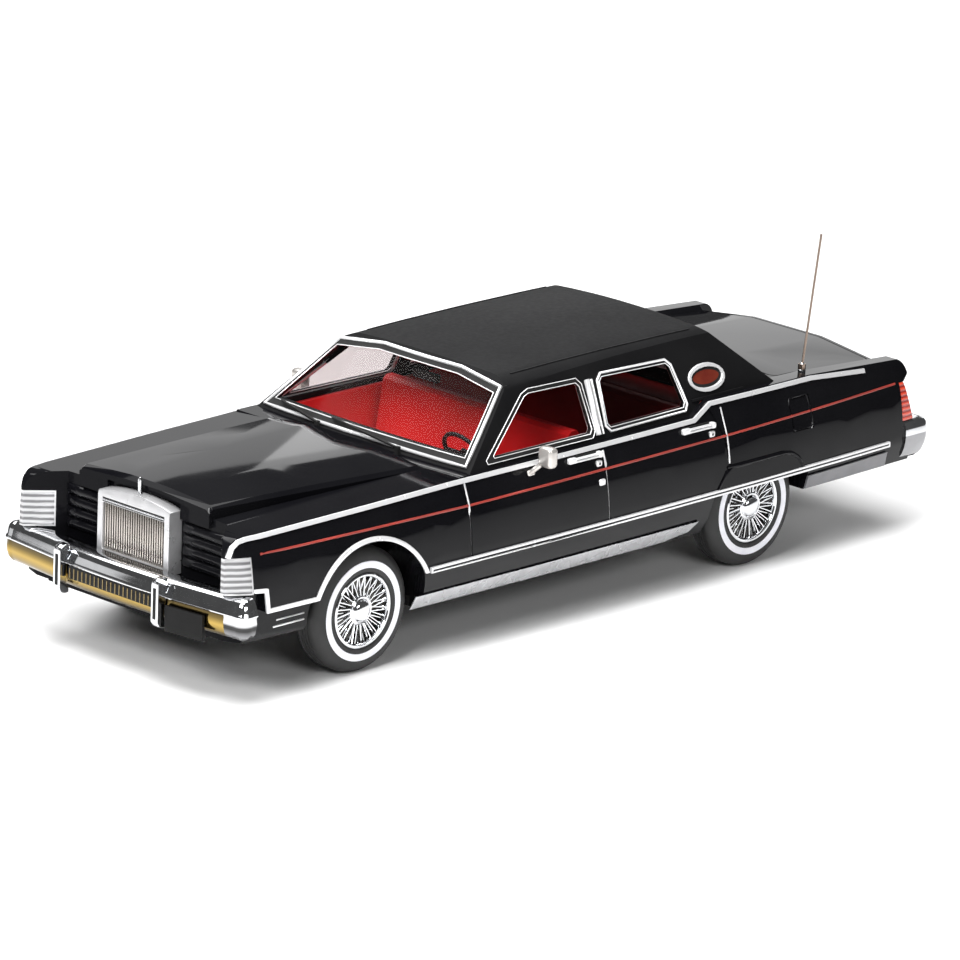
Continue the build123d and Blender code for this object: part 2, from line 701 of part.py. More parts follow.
def steering_wheel():
    """Rim, two spokes, boss and column, tilted towards the driver."""
    tilt = Plane(origin=(12.0, 9.0, 21.3), x_dir=(0, 1, 0), z_dir=(-0.87, 0, 0.5))
    rim = extrude(RegularPolygon(3.85, 20) - RegularPolygon(3.35, 20), amount=0.4)
    boss = extrude(RegularPolygon(0.9, 10), amount=0.5)
    spokes = Pos(0, 0, 0.2) * Box(7.0, 0.6, 0.3)
    column = Pos(0, 0, -4.8) * extrude(RegularPolygon(0.5, 8), amount=4.9)
    return tilt * (rim + boss + spokes + column) - dashboard()


def seat(x_front, x_back, top, half):
    cushion = polygon([
        (x_front, FLOOR_Z), (x_front, 14.6), (x_front - 0.8, 15.3), (x_back + 2.2, 14.4), (x_back, FLOOR_Z),
    ])
    back = polygon([
        (x_back + 2.4, 13.0), (x_back + 0.6, top - 0.5), (x_back, top), (x_back - 1.1, top),
        (x_back - 1.6, top - 0.6), (x_back - 1.0, FLOOR_Z), (x_back + 2.0, FLOOR_Z),
    ])
    tunnel = block(x_back - 3, x_front + 1, -TUNNEL_HALF - SEAT_GAP, TUNNEL_HALF + SEAT_GAP, 0, TUNNEL_TOP + SEAT_GAP)
    return side_prism(cushion, -half, half) + side_prism(back, -half, half) - tunnel


def front_seat():
    return seat(10.5, 0.5, 24.6, SEAT_HALF)


def rear_seat():
    return seat(-13.0, -22.0, 23.6, SEAT_HALF) - rear_well_walls(0.15)


# ---------------------------------------------------------------- underside

def baseplate():
    """Floor plate, waisted past the wheels, with its bearings, its screw bosses and a raised tongue behind."""
    z0 = BASE_TOP - BASE_THICK
    front_reach = WHEEL_R + ARCH_GAP_X
    rear_reach = WHEEL_R + REAR_WELL_GAP
    rear = REAR_AXLE_X - rear_reach
    plate = block(rear, NOSE_X - 5.2, -CABIN_HALF, CABIN_HALF, z0, BASE_TOP)
    plate = plate + block(TAIL_X + 2.2, rear, -TONGUE_HALF, TONGUE_HALF, z0, QUARTER_Z)
    waist = WELL_INNER_Y - 0.4
    for x, reach in ((FRONT_AXLE_X, front_reach), (REAR_AXLE_X, rear_reach)):
        plate = plate - both_sides(block(x - reach, x + reach, waist, FAR, 0, BASE_TOP))
    nose_sides = block(FRONT_AXLE_X + front_reach, NOSE_X, NOSE_PLATE_HALF, FAR, 0, BASE_TOP)
    rails = block(rear, NOSE_X - 8, RAIL_Y, RAIL_Y + 1.8, z0 - 0.8, z0)
    plate = plate - both_sides(nose_sides) + rails + mirror(rails, about=Plane.XZ)
    for x in (FRONT_AXLE_X, REAR_AXLE_X):
        bearing = block(x - 2.0, x + 2.0, 0.8 - waist, waist - 0.8, z0, WHEEL_R + 1.9)
        groove = side_prism(Pos(x, WHEEL_R) * Circle(AXLE_R + AXLE_CLEARANCE), -FAR, FAR)
        plate = plate + bearing - groove
    for x in SCREW_X:
        plate = plate + plan_prism(Pos(x, 0) * RegularPolygon(2.4, 12), z0 - 1.2, z0) - screw_hole(x)
    return plate


# ---------------------------------------------------------------- side trims

STRIP = 0.55                # width of the bright strip along the fenders and belt
STRIP_PROUD = 0.22


def shoulder_strips():
    """Bright strip round the fender tips, along the fenders and belt, and up over the fins."""
    low = STRIP / 2
    back = NOSE_X - 2.8
    line = Polyline(
        (NOSE_X - 0.35, LAMP_TOP + 0.1), (NOSE_X - 0.85, 21.35), (NOSE_X - 1.7, 22.0), (back, FENDER_FRONT_Z - low),
        (COWL_X, FENDER_REAR_Z - low), (KICK_X, BELT_Z - low), (KICK_X - KICK_RUN, FIN_Z - low - 0.1),
        (FIN_BREAK_X, FIN_Z - low - 0.25), (TAIL_X + 9, FIN_END_Z - 0.25),
    )
    return both_sides(side_skin(STRIP_PROUD) & side_prism(trace(line, STRIP), 10, FAR))


def side_mouldings():
    front = FRONT_AXLE_X - WHEEL_R - ARCH_GAP_X + 0.1
    rear = TAIL_X + 5.6
    band = polygon([(front, WIDEST_Z - 0.15), (front, WIDEST_Z + 0.6), (rear, WIDEST_Z + 0.95), (rear, WIDEST_Z + 0.2)])
    return both_sides(side_skin(0.4) & side_prism(band, 10, FAR))


def arch_trims():
    """Bright edging of the front wheel openings and of the fenders ahead of them."""
    keep = Pos(FRONT_AXLE_X, WIDEST_Z + 10) * Rectangle(40, 20)
    arch = (arch_face(0.6) - arch_face()) & keep
    front = NOSE_X - 5.3
    foot = FRONT_AXLE_X + (ARCH_R ** 2 - (WIDEST_Z - ARCH_CENTRE_Z) ** 2) ** 0.5
    step = polygon([
        (foot, WIDEST_Z), (front + 0.3, WIDEST_Z), (front + 0.55, 15.1), (NOSE_X - LAMP_BACK, 15.2),
        (NOSE_X - LAMP_BACK, 15.7), (front + 0.05, 15.6), (front - 0.2, WIDEST_Z + 0.55), (foot, WIDEST_Z + 0.55),
    ])
    return both_sides(side_skin(0.3) & side_prism(arch + step, 10, FAR))


def rocker_panels():
    front = FRONT_AXLE_X - WHEEL_R - ARCH_GAP_X + 1.5
    rear = REAR_AXLE_X + WHEEL_R + REAR_WELL_GAP + 2.0
    band = polygon([(front, BODY_BOTTOM + 0.1), (front, 8.85), (rear, 8.95), (rear + 1.2, 7.4), (rear + 6, BODY_BOTTOM + 0.1)])
    return both_sides(side_skin(0.3) & side_prism(band, 10, FAR))


def quarter_extensions():
    front = REAR_AXLE_X - WHEEL_R - REAR_WELL_GAP - 0.2
    band = polygon([(front, 9.5), (front + 0.2, 11.5), (TAIL_X + 5.8, 11.7), (TAIL_X + 5.4, 9.5)])
    return both_sides(side_skin(0.3) & side_prism(band, 10, FAR))


def door_handles():
    """Pull bar and thumb button on each door, on their escutcheons."""
    parts = []
    for rear, front in ((-1.4, 5.2), (-23.8, -17.1)):
        bar = polygon([(rear, 21.5), (rear, 22.3), (rear + 0.9, 22.6), (front, 22.5), (front, 21.9), (rear + 1.6, 21.5)])
        button = Pos(rear + 0.75, 20.9) * Rectangle(1.3, 0.9)
        parts.append(side_skin(0.7) & side_prism(bar, 10, FAR))
        parts.append(side_skin(0.55) & side_prism(button, 10, FAR))
    parts.append(side_skin(0.35) & side_prism(Pos(-0.8, 18.4) * Rectangle(1.1, 1.0), 10, FAR))
    return both_sides(gather(*parts))


# ---------------------------------------------------------------- nose

def grille_shell():
    """Upright chrome surround with an arched, leaning header."""
    crown = GRILLE_TOP
    front = HEADER_X + GRILLE_DEPTH
    outline = [
        Line((-GRILLE_HALF, GRILLE_BOTTOM), (GRILLE_HALF, GRILLE_BOTTOM)),
        Line((GRILLE_HALF, GRILLE_BOTTOM), (GRILLE_HALF, crown - 0.8)),
        ThreePointArc((GRILLE_HALF, crown - 0.8), (0, crown), (-GRILLE_HALF, crown - 0.8)),
        Line((-GRILLE_HALF, crown - 0.8), (-GRILLE_HALF, GRILLE_BOTTOM)),
    ]
    shell = front_prism(make_face(outline), HEADER_X, front)
    half = GRILLE_HALF - GRILLE_RIM
    mouth = block(HEADER_X + 0.9, front + 1, -half, half, GRILLE_BOTTOM + 0.8, BAR_TOP)
    lean = side_prism(polygon([(front, BAR_TOP + 0.9), (front - 1.5, 30), (front + 5, 30), (front + 5, BAR_TOP + 0.9)]), -FAR, FAR)
    slot = block(front - 0.35, front + 1, -half, half, BAR_TOP + 0.35, BAR_TOP + 0.6)
    return shell - mouth - lean - slot


def grille_bars():
    """Thin upright bars with V fronts that fill the mouth of the grille."""
    half = GRILLE_HALF - GRILLE_RIM
    pitch = 2 * half / BAR_COUNT
    back = HEADER_X + 0.9
    front = HEADER_X + GRILLE_DEPTH - 0.35
    bars = []
    for i in range(BAR_COUNT):
        y = -half + pitch * (i + 0.5)
        plan = polygon([(back, y - 0.13), (front - 0.2, y - 0.13), (front, y), (front - 0.2, y + 0.13), (back, y + 0.13)])
        bars.append(plan_prism(plan, GRILLE_BOTTOM + 0.8, BAR_TOP))
    return gather(*bars)


def hood_ornament():
    """Plain upright ornament on the grille's header."""
    x = HEADER_X + 1.0
    stem = polygon([
        (-0.55, GRILLE_TOP - 0.3), (0.55, GRILLE_TOP - 0.3), (0.25, GRILLE_TOP + 0.2), (0.35, GRILLE_TOP + 1.9),
        (0, GRILLE_TOP + 2.3), (-0.35, GRILLE_TOP + 1.9), (-0.25, GRILLE_TOP + 0.2),
    ])
    return front_prism(stem, x, x + 0.45) - grille_shell()


def headlamp_doors():
    """Ridged doors that hide the headlamps."""
    doors = block(HEADER_X, HEADER_X + 0.35, DOOR_INNER, DOOR_OUTER - 0.2, LAMP_BOTTOM, HOOD_FOOT_Z - 0.3)
    pitch = (HOOD_FOOT_Z - 0.3 - LAMP_BOTTOM) / 5
    for i in range(5):
        z = LAMP_BOTTOM + pitch * i
        ridge = polygon([(HEADER_X, z + 0.15), (HEADER_X + 0.65, z + 0.5), (HEADER_X + 0.65, z + pitch - 0.35), (HEADER_X, z + pitch - 0.05)])
        doors = doors + side_prism(ridge, DOOR_INNER + 0.25, DOOR_OUTER - 0.45)
    return both_sides(doors)


def corner_lamp_zone():
    """The ends of the fender tips, where the corner lamps stand."""
    return block(NOSE_X - LAMP_BACK, NOSE_X + 5, -FAR, FAR, LAMP_BOTTOM, LAMP_TOP)


def corner_lamps():
    return (rough_body() - nose_cut()) & corner_lamp_zone()


def bumper_outline(grow, z):
    """Plan outline of the front bumper, pushed out by grow."""
    front = NOSE_X + BUMPER_FRONT + grow
    half = SIDE_WIDEST + grow
    back = NOSE_X - BUMPER_BACK
    inner = NOSE_X - 1.4
    sweep = front - 0.25
    corner = front - 1.7
    side = [
        Line((sweep, GUARD_Y), (corner, half - 1.2)),
        ThreePointArc((corner, half - 1.2), (corner - 0.3, half - 0.35), (corner - 1.1, half)),
        Line((corner - 1.1, half), (back, half)),
        Line((back, half), (back, SIDE_WIDEST - 1.7)),
        Line((back, SIDE_WIDEST - 1.7), (inner, 18.0)),
    ]
    other = [mirror(edge, about=Plane.XZ) for edge in side]
    middle = [Line((inner, 18.0), (inner, -18.0)), ThreePointArc((sweep, -GUARD_Y), (front, 0), (sweep, GUARD_Y))]
    return Pos(0, 0, z) * make_face(side + other + middle)


def front_bumper():
    """Bumper bar with a bevelled top, a long groove and a tucked lower edge."""
    levels = [
        (8.3, -0.9), (9.1, -0.05), (10.5, 0.15), (12.3, 0.1), (12.6, -0.25), (13.0, -0.25),
        (13.3, 0.05), (14.0, 0.0), (BUMPER_TOP, -0.8),
    ]
    outlines = [bumper_outline(grow, z) for z, grow in levels]
    bar = loft(outlines[:2], ruled=True)
    for pair in zip(outlines[1:], outlines[2:]):
        bar = bar + loft(pair, ruled=True)
    dip = polygon([(-15, 7.0), (-10.5, 9.3), (10.5, 9.3), (15, 7.0)])
    return bar - front_prism(dip, NOSE_X - 9, NOSE_X + 9)


def bumper_guards():
    """Two upright guards with rounded tops and tapered feet."""
    x = NOSE_X + BUMPER_FRONT - 0.6
    front = NOSE_X + GUARD_FRONT
    profile = polygon([
        (x, 8.5), (x, 15.2), (front - 0.9, 15.2), (front - 0.2, 14.9), (front, 14.3), (front, 9.3), (front - 0.4, 8.7), (front - 1.0, 8.5),
    ])
    guard = side_prism(profile, GUARD_Y, GUARD_Y + GUARD_WIDTH)
    return both_sides(guard - front_bumper())


def number_plate():
    """Blank plate that follows the sweep of the front bumper."""
    inner = GUARD_Y + GUARD_WIDTH + 0.3
    outer = inner + PLATE_LENGTH
    face = NOSE_X + BUMPER_FRONT - 0.15
    drop = PLATE_SWEEP * PLATE_LENGTH
    plan = polygon([(face - 0.4, inner), (face + 0.3, inner), (face + 0.3 - drop, outer), (face - 0.4 - drop, outer)])
    return plan_prism(plan, 8.2, 11.7) - front_bumper()


# ---------------------------------------------------------------- tail

def tail_lamp_zone():
    """The rear ends of the fins, where the tail lamps stand."""
    zone = block(TAIL_X - 5, TAIL_X + 2.4, SIDE_WIDEST - 5.6, FAR, REAR_BUMPER_TOP + 0.1, 20.9)
    return both_sides(zone)


def tail_lamps():
    return (rough_body() - fin_round()) & tail_lamp_zone()


def rear_bumper():
    """Deep wraparound bar whose rear face leans in below."""
    rear = TAIL_X - REAR_BUMPER_BACK
    front = TAIL_X + 2.2
    half = SIDE_WIDEST - 0.9
    profile = polygon([
        (front, REAR_BUMPER_TOP), (rear + 0.8, REAR_BUMPER_TOP), (rear + 0.15, REAR_BUMPER_TOP - 0.5), (rear, 14.2),
        (rear + 1.5, 10.3), (rear + 2.2, REAR_BUMPER_BOTTOM), (front - 1.4, REAR_BUMPER_BOTTOM),
    ])
    outline = [
        Line((front + 1, half), (rear + 2.0, half - 0.1)),
        ThreePointArc((rear + 2.0, half - 0.1), (rear + 0.75, half - 0.6), (rear + 0.3, half - 1.6)),
        Line((rear + 0.3, half - 1.6), (rear, 9.0)),
        Line((rear, 9.0), (rear, -9.0)),
        Line((rear, -9.0), (rear + 0.3, 1.6 - half)),
        ThreePointArc((rear + 0.3, 1.6 - half), (rear + 0.75, 0.6 - half), (rear + 2.0, 0.1 - half)),
        Line((rear + 2.0, 0.1 - half), (front + 1, -half)),
        Line((front + 1, -half), (front + 1, half)),
    ]
    bar = side_prism(profile, -FAR, FAR) & plan_prism(make_face(outline), 0, 20)
    return bar - (rough_body() - fin_round())


# ---------------------------------------------------------------- small fittings

WIPER_POST_X = 24.0
WIPER_POST_Z = 24.4


def wiper(post_y, tip_x, tip_y):
    """One arm, from its post on the cowl to its tip over the foot of the windscreen."""
    start = Vector(WIPER_POST_X, post_y, WIPER_POST_Z)
    along = Vector(tip_x, tip_y, WIPER_POST_Z + 0.6) - start
    arm = extrude(Plane(origin=start, x_dir=(0, 0, 1), z_dir=along) * Rectangle(0.25, 0.35), amount=along.length)
    post = block(WIPER_POST_X - 0.3, WIPER_POST_X + 0.3, post_y - 0.3, post_y + 0.3, BELT_Z, WIPER_POST_Z + 0.2)
    return arm + post


def wipers():
    return gather(wiper(8.3, 22.3, -6.0), wiper(-7.2, 21.9, -16.3))


ANTENNA_X = -45.6
MIRROR_X = 11.1
MIRROR_Z = 24.75


def door_mirrors():
    """Small square heads on raked stalks that rise from the doors."""
    foot_y = half_width(MIRROR_X, 22.0)
    head = Pos(MIRROR_X, foot_y + 2.4, MIRROR_Z) * Box(1.0, 2.6, 2.3)
    stalk = polygon([(foot_y - 0.2, 21.4), (foot_y - 0.2, 22.3), (foot_y + 1.6, 24.2), (foot_y + 2.4, 24.2), (foot_y + 0.6, 21.4)])
    arm = front_prism(stalk, MIRROR_X - 0.4, MIRROR_X + 0.2)
    return both_sides(head + arm - rough_body())


def antenna():
    """Raked whip with its socket on the left fin."""
    x, y = ANTENNA_X, half_width(ANTENNA_X, FIN_Z) - 2.0
    base = Pos(x, y, FIN_Z - 0.1) * extrude(RegularPolygon(0.55, 8), amount=1.0)
    mast = Pos(x, y, FIN_Z + 0.3) * Rot(0, -8, 0) * extrude(RegularPolygon(0.17, 6), amount=19.0)
    return base + mast - rear_fill()


def rear_view_mirror():
    head = Pos(10.6, 0, 30.2) * Box(0.6, 4.6, 1.1)
    stem = block(10.4, 10.8, -0.2, 0.2, 30.4, ROOF_TOP)
    return (head + stem) & cabin_air()


# ---------------------------------------------------------------- wheels

def tyre():
    """Tyre with rounded shoulders, on the left side of the car."""
    outer, inner = TYRE_OUTER_Y, TYRE_INNER_Y
    profile = polygon([
        (RIM_R, outer), (WHEEL_R - 0.9, outer), (WHEEL_R, outer - 1.1), (WHEEL_R, inner), (RIM_R, inner),
    ])
    return revolve(profile, axis=Axis.Y)


def spoke(angle, skew):
    """One wire from the hub out to the rim, with a ridge along its face."""
    face_y = TYRE_OUTER_Y - 0.8
    start = Vector((HUB_R - 0.2) * cos(angle), face_y, (HUB_R - 0.2) * sin(angle))
    end_r = RIM_R - RIM_WALL + 0.1
    end = Vector(end_r * cos(angle + skew), face_y + 0.15, end_r * sin(angle + skew))
    along = end - start
    section = polygon([(0, SPOKE_WIDTH / 2), (-SPOKE_WIDTH / 2, -SPOKE_WIDTH / 2), (SPOKE_WIDTH / 2, -SPOKE_WIDTH / 2)])
    across_wire = along.cross(Vector(0, 1, 0))
    return extrude(Plane(origin=start, x_dir=across_wire, z_dir=along) * section, amount=along.length)


def spoked_ring(flat, y0, y1):
    """A prism about the axle with one flat for each spoke."""
    turn = 180 / SPOKE_COUNT
    face = RegularPolygon(flat, SPOKE_COUNT, major_radius=False, rotation=turn)
    return Rot(-90, 0, 0) * plan_prism(face, y0, y1)


def dome_stage(radius, y0, y1, taper):
    """One tapering stage of the hub's dome."""
    return Rot(-90, 0, 0) * Pos(0, 0, y0) * extrude(RegularPolygon(radius, 16), amount=y1 - y0, taper=taper)


def wheel():
    """Wire wheel: dished rim, crossed spokes and a domed hub."""
    outer, inner = TYRE_OUTER_Y, TYRE_INNER_Y
    rim = revolve(polygon([(AXLE_R, inner), (RIM_R, inner), (RIM_R, outer - 0.1), (AXLE_R, outer - 0.1)]), axis=Axis.Y)
    rim = rim - spoked_ring(RIM_R - RIM_WALL, outer - 1.9, outer + 1)
    hub = spoked_ring(HUB_R, inner + 2.0, outer - 0.55)
    collar = dome_stage(HUB_R - 0.6, outer - 0.6, outer - 0.2, 20)
    dome = collar + dome_stage(HUB_R - 0.75, outer - 0.2, outer + 0.2, 60)
    body = rim + hub + dome
    turn = 360 / SPOKE_COUNT
    for i in range(SPOKE_COUNT):
        skew = SPOKE_SKEW if i % 2 else -SPOKE_SKEW
        body = body + spoke(radians(turn * i), radians(skew))
    return body


def axle():
    return Rot(90, 0, 0) * Cylinder(AXLE_R, 2 * (TYRE_INNER_Y + 2.0))


def save_wheelset(name, x):
    place = Pos(x, 0, WHEEL_R)
    save(place * axle(), f"{name}_axle")
    left_wheel = wheel()
    left_tyre = tyre()
    save(place * left_wheel, f"{name}_left_wheel")
    save(place * left_tyre, f"{name}_left_tyre")
    save(place * mirror(left_wheel, about=Plane.XZ), f"{name}_right_wheel")
    save(place * mirror(left_tyre, about=Plane.XZ), f"{name}_right_tyre")


MAKERS = (
    body_shell, roof_shell, side_window_frames, side_glass, opera_frames, opera_windows, windscreen_frame,
    windscreen_glass, rear_window_frame, rear_glass, interior_tub, dashboard, steering_wheel, front_seat,
    rear_seat, baseplate, shoulder_strips, side_mouldings, arch_trims, rocker_panels, quarter_extensions,
    door_handles, grille_shell, grille_bars, hood_ornament, headlamp_doors, corner_lamps, front_bumper,
    bumper_guards, number_plate, rear_bumper, tail_lamps, wipers, door_mirrors, antenna, rear_view_mirror,
)

for make in MAKERS:
    save(make(), make.__name__)
save_wheelset("front", FRONT_AXLE_X)
save_wheelset("rear", REAR_AXLE_X)
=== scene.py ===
import json
from math import cos, pi, radians, sin

import bpy
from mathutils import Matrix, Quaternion, Vector

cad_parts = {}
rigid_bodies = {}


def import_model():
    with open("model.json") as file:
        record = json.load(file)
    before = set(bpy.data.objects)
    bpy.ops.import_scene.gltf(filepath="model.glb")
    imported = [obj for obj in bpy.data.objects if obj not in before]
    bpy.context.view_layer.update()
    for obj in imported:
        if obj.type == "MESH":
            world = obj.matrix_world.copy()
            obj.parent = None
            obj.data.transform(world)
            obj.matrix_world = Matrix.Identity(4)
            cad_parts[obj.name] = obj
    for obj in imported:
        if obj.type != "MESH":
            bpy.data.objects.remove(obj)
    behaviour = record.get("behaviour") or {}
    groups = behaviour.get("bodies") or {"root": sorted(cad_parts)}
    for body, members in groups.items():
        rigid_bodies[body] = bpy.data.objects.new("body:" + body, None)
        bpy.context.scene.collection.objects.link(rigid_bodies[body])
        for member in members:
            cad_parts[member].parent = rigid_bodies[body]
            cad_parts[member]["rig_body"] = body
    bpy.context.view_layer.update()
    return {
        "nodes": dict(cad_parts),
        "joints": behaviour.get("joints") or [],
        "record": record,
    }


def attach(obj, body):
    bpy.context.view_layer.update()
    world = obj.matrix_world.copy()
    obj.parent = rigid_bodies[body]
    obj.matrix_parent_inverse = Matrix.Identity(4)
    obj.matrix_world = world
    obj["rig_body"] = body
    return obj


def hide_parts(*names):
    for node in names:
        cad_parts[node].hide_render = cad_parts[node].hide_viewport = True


# Looks of the sedan scale model. X runs forward, Y to the car's left, Z up.
# Blender works in metres. Sizes and places on the car are written in millimetres and multiplied by MM.

MM = 0.001

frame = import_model()
nodes = frame["nodes"]

# ---------------------------------------------------------------- camera

VIEW_TURN = radians(44.22)      # from straight ahead of the car towards its left side
VIEW_RISE = radians(16.84)
VIEW_ROLL = radians(2.21)
VIEW_DISTANCE = 1.0
VIEW_TARGET = Vector((0, 0, 12 * MM))
VIEW_LENS = 274.0
VIEW_SHIFT = (0.0032, 0.0105)


def place_camera():
    """A long lens that looks down at the front left corner."""
    back = Vector((cos(VIEW_TURN) * cos(VIEW_RISE), sin(VIEW_TURN) * cos(VIEW_RISE), sin(VIEW_RISE)))
    lens = bpy.data.cameras.new("camera")
    lens.lens = VIEW_LENS
    lens.sensor_width = 36
    lens.shift_x, lens.shift_y = VIEW_SHIFT
    lens.clip_start = 0.05
    lens.clip_end = 20
    camera = bpy.data.objects.new("camera", lens)
    bpy.context.scene.collection.objects.link(camera)
    camera.location = VIEW_TARGET + back * VIEW_DISTANCE
    camera.rotation_mode = "QUATERNION"
    camera.rotation_quaternion = back.to_track_quat("Z", "Y") @ Quaternion((0, 0, 1), VIEW_ROLL)
    bpy.context.scene.camera = camera


place_camera()
bpy.context.scene.view_settings.view_transform = "Standard"

# ---------------------------------------------------------------- studio

SURROUND = 0.08
SOFT_LIGHTS = (
    # name, place and aim in metres, width, height, power in watts
    ("overhead", (-0.05, -0.22, 0.75), (0, 0, 0), 0.9, 0.8, 10),
    ("tail_card", (-0.38, -0.27, 0.135), (-0.05, 0, 0.02), 0.22, 0.13, 0.125),
    ("nose_card", (-0.25, -0.46, 0.14), (0.05, 0, 0.02), 0.27, 0.11, 0.075),
    ("bumper_card", (0.445, -0.466, 0.098), (0.067, 0, 0.014), 0.16, 0.12, 0.04),
    ("cabin_light", (0.085, 0.03, 0.15), (0.012, 0, 0.022), 0.05, 0.09, 0.2),
    ("side_fill", (0.30, 0.80, 0.45), (0, 0, 0.02), 0.5, 0.25, 2.6),
    ("front_fill", (0.62, 0.10, 0.50), (0.03, 0, 0.02), 0.4, 0.25, 4.0),
)


def studio_world():
    """An even grey surround."""
    world = bpy.data.worlds.new("studio")
    world.use_nodes = True
    background = world.node_tree.nodes["Background"]
    background.inputs["Color"].default_value = (1, 1, 1, 1)
    background.inputs["Strength"].default_value = SURROUND
    bpy.context.scene.world = world


def soft_light(name, place, aim, width, height, power):
    """A rectangular soft light at place that faces aim."""
    lamp = bpy.data.lights.new(name, "AREA")
    lamp.shape = "RECTANGLE"
    lamp.size = width
    lamp.size_y = height
    lamp.energy = power
    holder = bpy.data.objects.new(name, lamp)
    bpy.context.scene.collection.objects.link(holder)
    holder.location = place
    holder.rotation_euler = (Vector(place) - Vector(aim)).to_track_quat("Z", "Y").to_euler()


studio_world()
for light in SOFT_LIGHTS:
    soft_light(*light)

# ---------------------------------------------------------------- working helpers

MERGE_DISTANCE = 0.002
FLAT_WITHIN = radians(0.4)      # faces that turn by less than this become one
SMOOTH_WITHIN = radians(30)
ROUND_ABOVE = radians(32)       # edges that turn by more than this are rounded


def pick(piece):
    """Selects piece alone."""
    bpy.ops.object.select_all(action="DESELECT")
    piece.select_set(True)
    bpy.context.view_layer.objects.active = piece


def settle(piece):
    """Puts the piece's place into its mesh."""
    pick(piece)
    bpy.ops.object.transform_apply(location=True, rotation=True, scale=True)
    return piece


def own_copy(piece, name):
    """A new object with its own copy of the piece's mesh."""
    twin = bpy.data.objects.new(name, piece.data.copy())
    bpy.context.scene.collection.objects.link(twin)
    return twin


def give(piece, *finishes):
    """Gives the piece its material, or several for its faces to choose from; choices already made stay."""
    if [slot.material for slot in piece.material_slots] == list(finishes):
        return
    piece.data.materials.clear()
    for finish in finishes:
        piece.data.materials.append(finish)


def round_edges(piece, width, segments=2):
    """Rounds the piece's sharp edges by width, in mm."""
    pick(piece)
    bevel = piece.modifiers.new("rounding", "BEVEL")
    bevel.width = width * MM
    bevel.segments = segments
    bevel.limit_method = "ANGLE"
    bevel.angle_limit = ROUND_ABOVE
    bevel.harden_normals = False
    bpy.ops.object.modifier_apply(modifier=bevel.name)


def settle_normals(piece):
    """Keeps the broad faces beside rounded edges looking flat."""
    weights = piece.modifiers.new("weights", "WEIGHTED_NORMAL")
    weights.keep_sharp = True
    bpy.ops.object.modifier_apply(modifier=weights.name)


def smooth_copy(node, finish, body_name, rounding):
    """A merged copy of a CAD node, its edges rounded by so many mm, that stands for the node."""
    piece = own_copy(nodes[node], node + "_finished")
    pick(piece)
    bpy.ops.object.mode_set(mode="EDIT")
    bpy.ops.mesh.select_all(action="SELECT")
    bpy.ops.mesh.remove_doubles(threshold=MERGE_DISTANCE * MM)
    bpy.ops.mesh.dissolve_limited(angle_limit=FLAT_WITHIN)
    bpy.ops.object.mode_set(mode="OBJECT")
    bpy.ops.mesh.customdata_custom_splitnormals_clear()
    if rounding:
        round_edges(piece, rounding)
    bpy.ops.object.shade_smooth_by_angle(angle=SMOOTH_WITHIN)
    if rounding:
        settle_normals(piece)
    give(piece, finish)
    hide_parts(node)
    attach(piece, body_name)
    return piece


def surface_point(piece, start, way, sink):
    """The point of the piece met from start along way, sunk by so much, in mm; None where nothing is met."""
    met, point, normal, _ = piece.ray_cast(Vector(start) * MM, Vector(way))
    return (point - normal * sink * MM) / MM if met else None


# ---------------------------------------------------------------- making finishes


def shader_of(finish):
    return finish.node_tree.nodes["Principled BSDF"]


def new_finish(name, colour, roughness, metallic=0.0):
    """A material with its main shader's colour, roughness and metal set."""
    finish = bpy.data.materials.new(name)
    finish.use_nodes = True
    shader = shader_of(finish)
    shader.inputs["Base Color"].default_value = (*colour, 1)
    shader.inputs["Roughness"].default_value = roughness
    shader.inputs["Metallic"].default_value = metallic
    return finish


def cloudiness(finish, scale, detail=4.0):
    """Noise over the piece's own coordinates; scale is in patches per metre."""
    tree = finish.node_tree
    where = tree.nodes.new("ShaderNodeTexCoord")
    noise = tree.nodes.new("ShaderNodeTexNoise")
    noise.inputs["Scale"].default_value = scale
    noise.inputs["Detail"].default_value = detail
    tree.links.new(where.outputs["Object"], noise.inputs["Vector"])
    return noise.outputs["Fac"]


def vary_roughness(finish, source, low, high):
    """Spreads the roughness between low and high by a pattern."""
    tree = finish.node_tree
    spread = tree.nodes.new("ShaderNodeMapRange")
    spread.inputs["To Min"].default_value = low
    spread.inputs["To Max"].default_value = high
    tree.links.new(source, spread.inputs["Value"])
    tree.links.new(spread.outputs["Result"], shader_of(finish).inputs["Roughness"])


def vary_colour(finish, source, first, second, start=0.3, end=0.7):
    """Blends two colours by a pattern, and returns the ramp for more bands."""
    tree = finish.node_tree
    ramp = tree.nodes.new("ShaderNodeValToRGB")
    ramp.color_ramp.elements[0].position = start
    ramp.color_ramp.elements[1].position = end
    ramp.color_ramp.elements[0].color = (*first, 1)
    ramp.color_ramp.elements[1].color = (*second, 1)
    tree.links.new(source, ramp.inputs["Fac"])
    tree.links.new(ramp.outputs["Color"], shader_of(finish).inputs["Base Color"])
    return ramp


def raise_grain(finish, source, strength, depth):
    """Bumps the surface by a pattern; depth is in mm."""
    tree = finish.node_tree
    bump = tree.nodes.new("ShaderNodeBump")
    bump.inputs["Strength"].default_value = strength
    bump.inputs["Distance"].default_value = depth * MM
    tree.links.new(source, bump.inputs["Height"])
    tree.links.new(bump.outputs["Normal"], shader_of(finish).inputs["Normal"])


def black_lacquer(name, index):
    """Polished black paint with faint orange peel; a lower index of refraction shines less."""
    finish = new_finish(name, (0.004, 0.004, 0.005), 0.05)
    vary_colour(finish, cloudiness(finish, 60), (0.003, 0.003, 0.004), (0.006, 0.006, 0.007))
    vary_roughness(finish, cloudiness(finish, 180), 0.03, 0.07)
    raise_grain(finish, cloudiness(finish, 700, 2), 0.02, 0.02)
    shader_of(finish).inputs["IOR"].default_value = index
    return finish


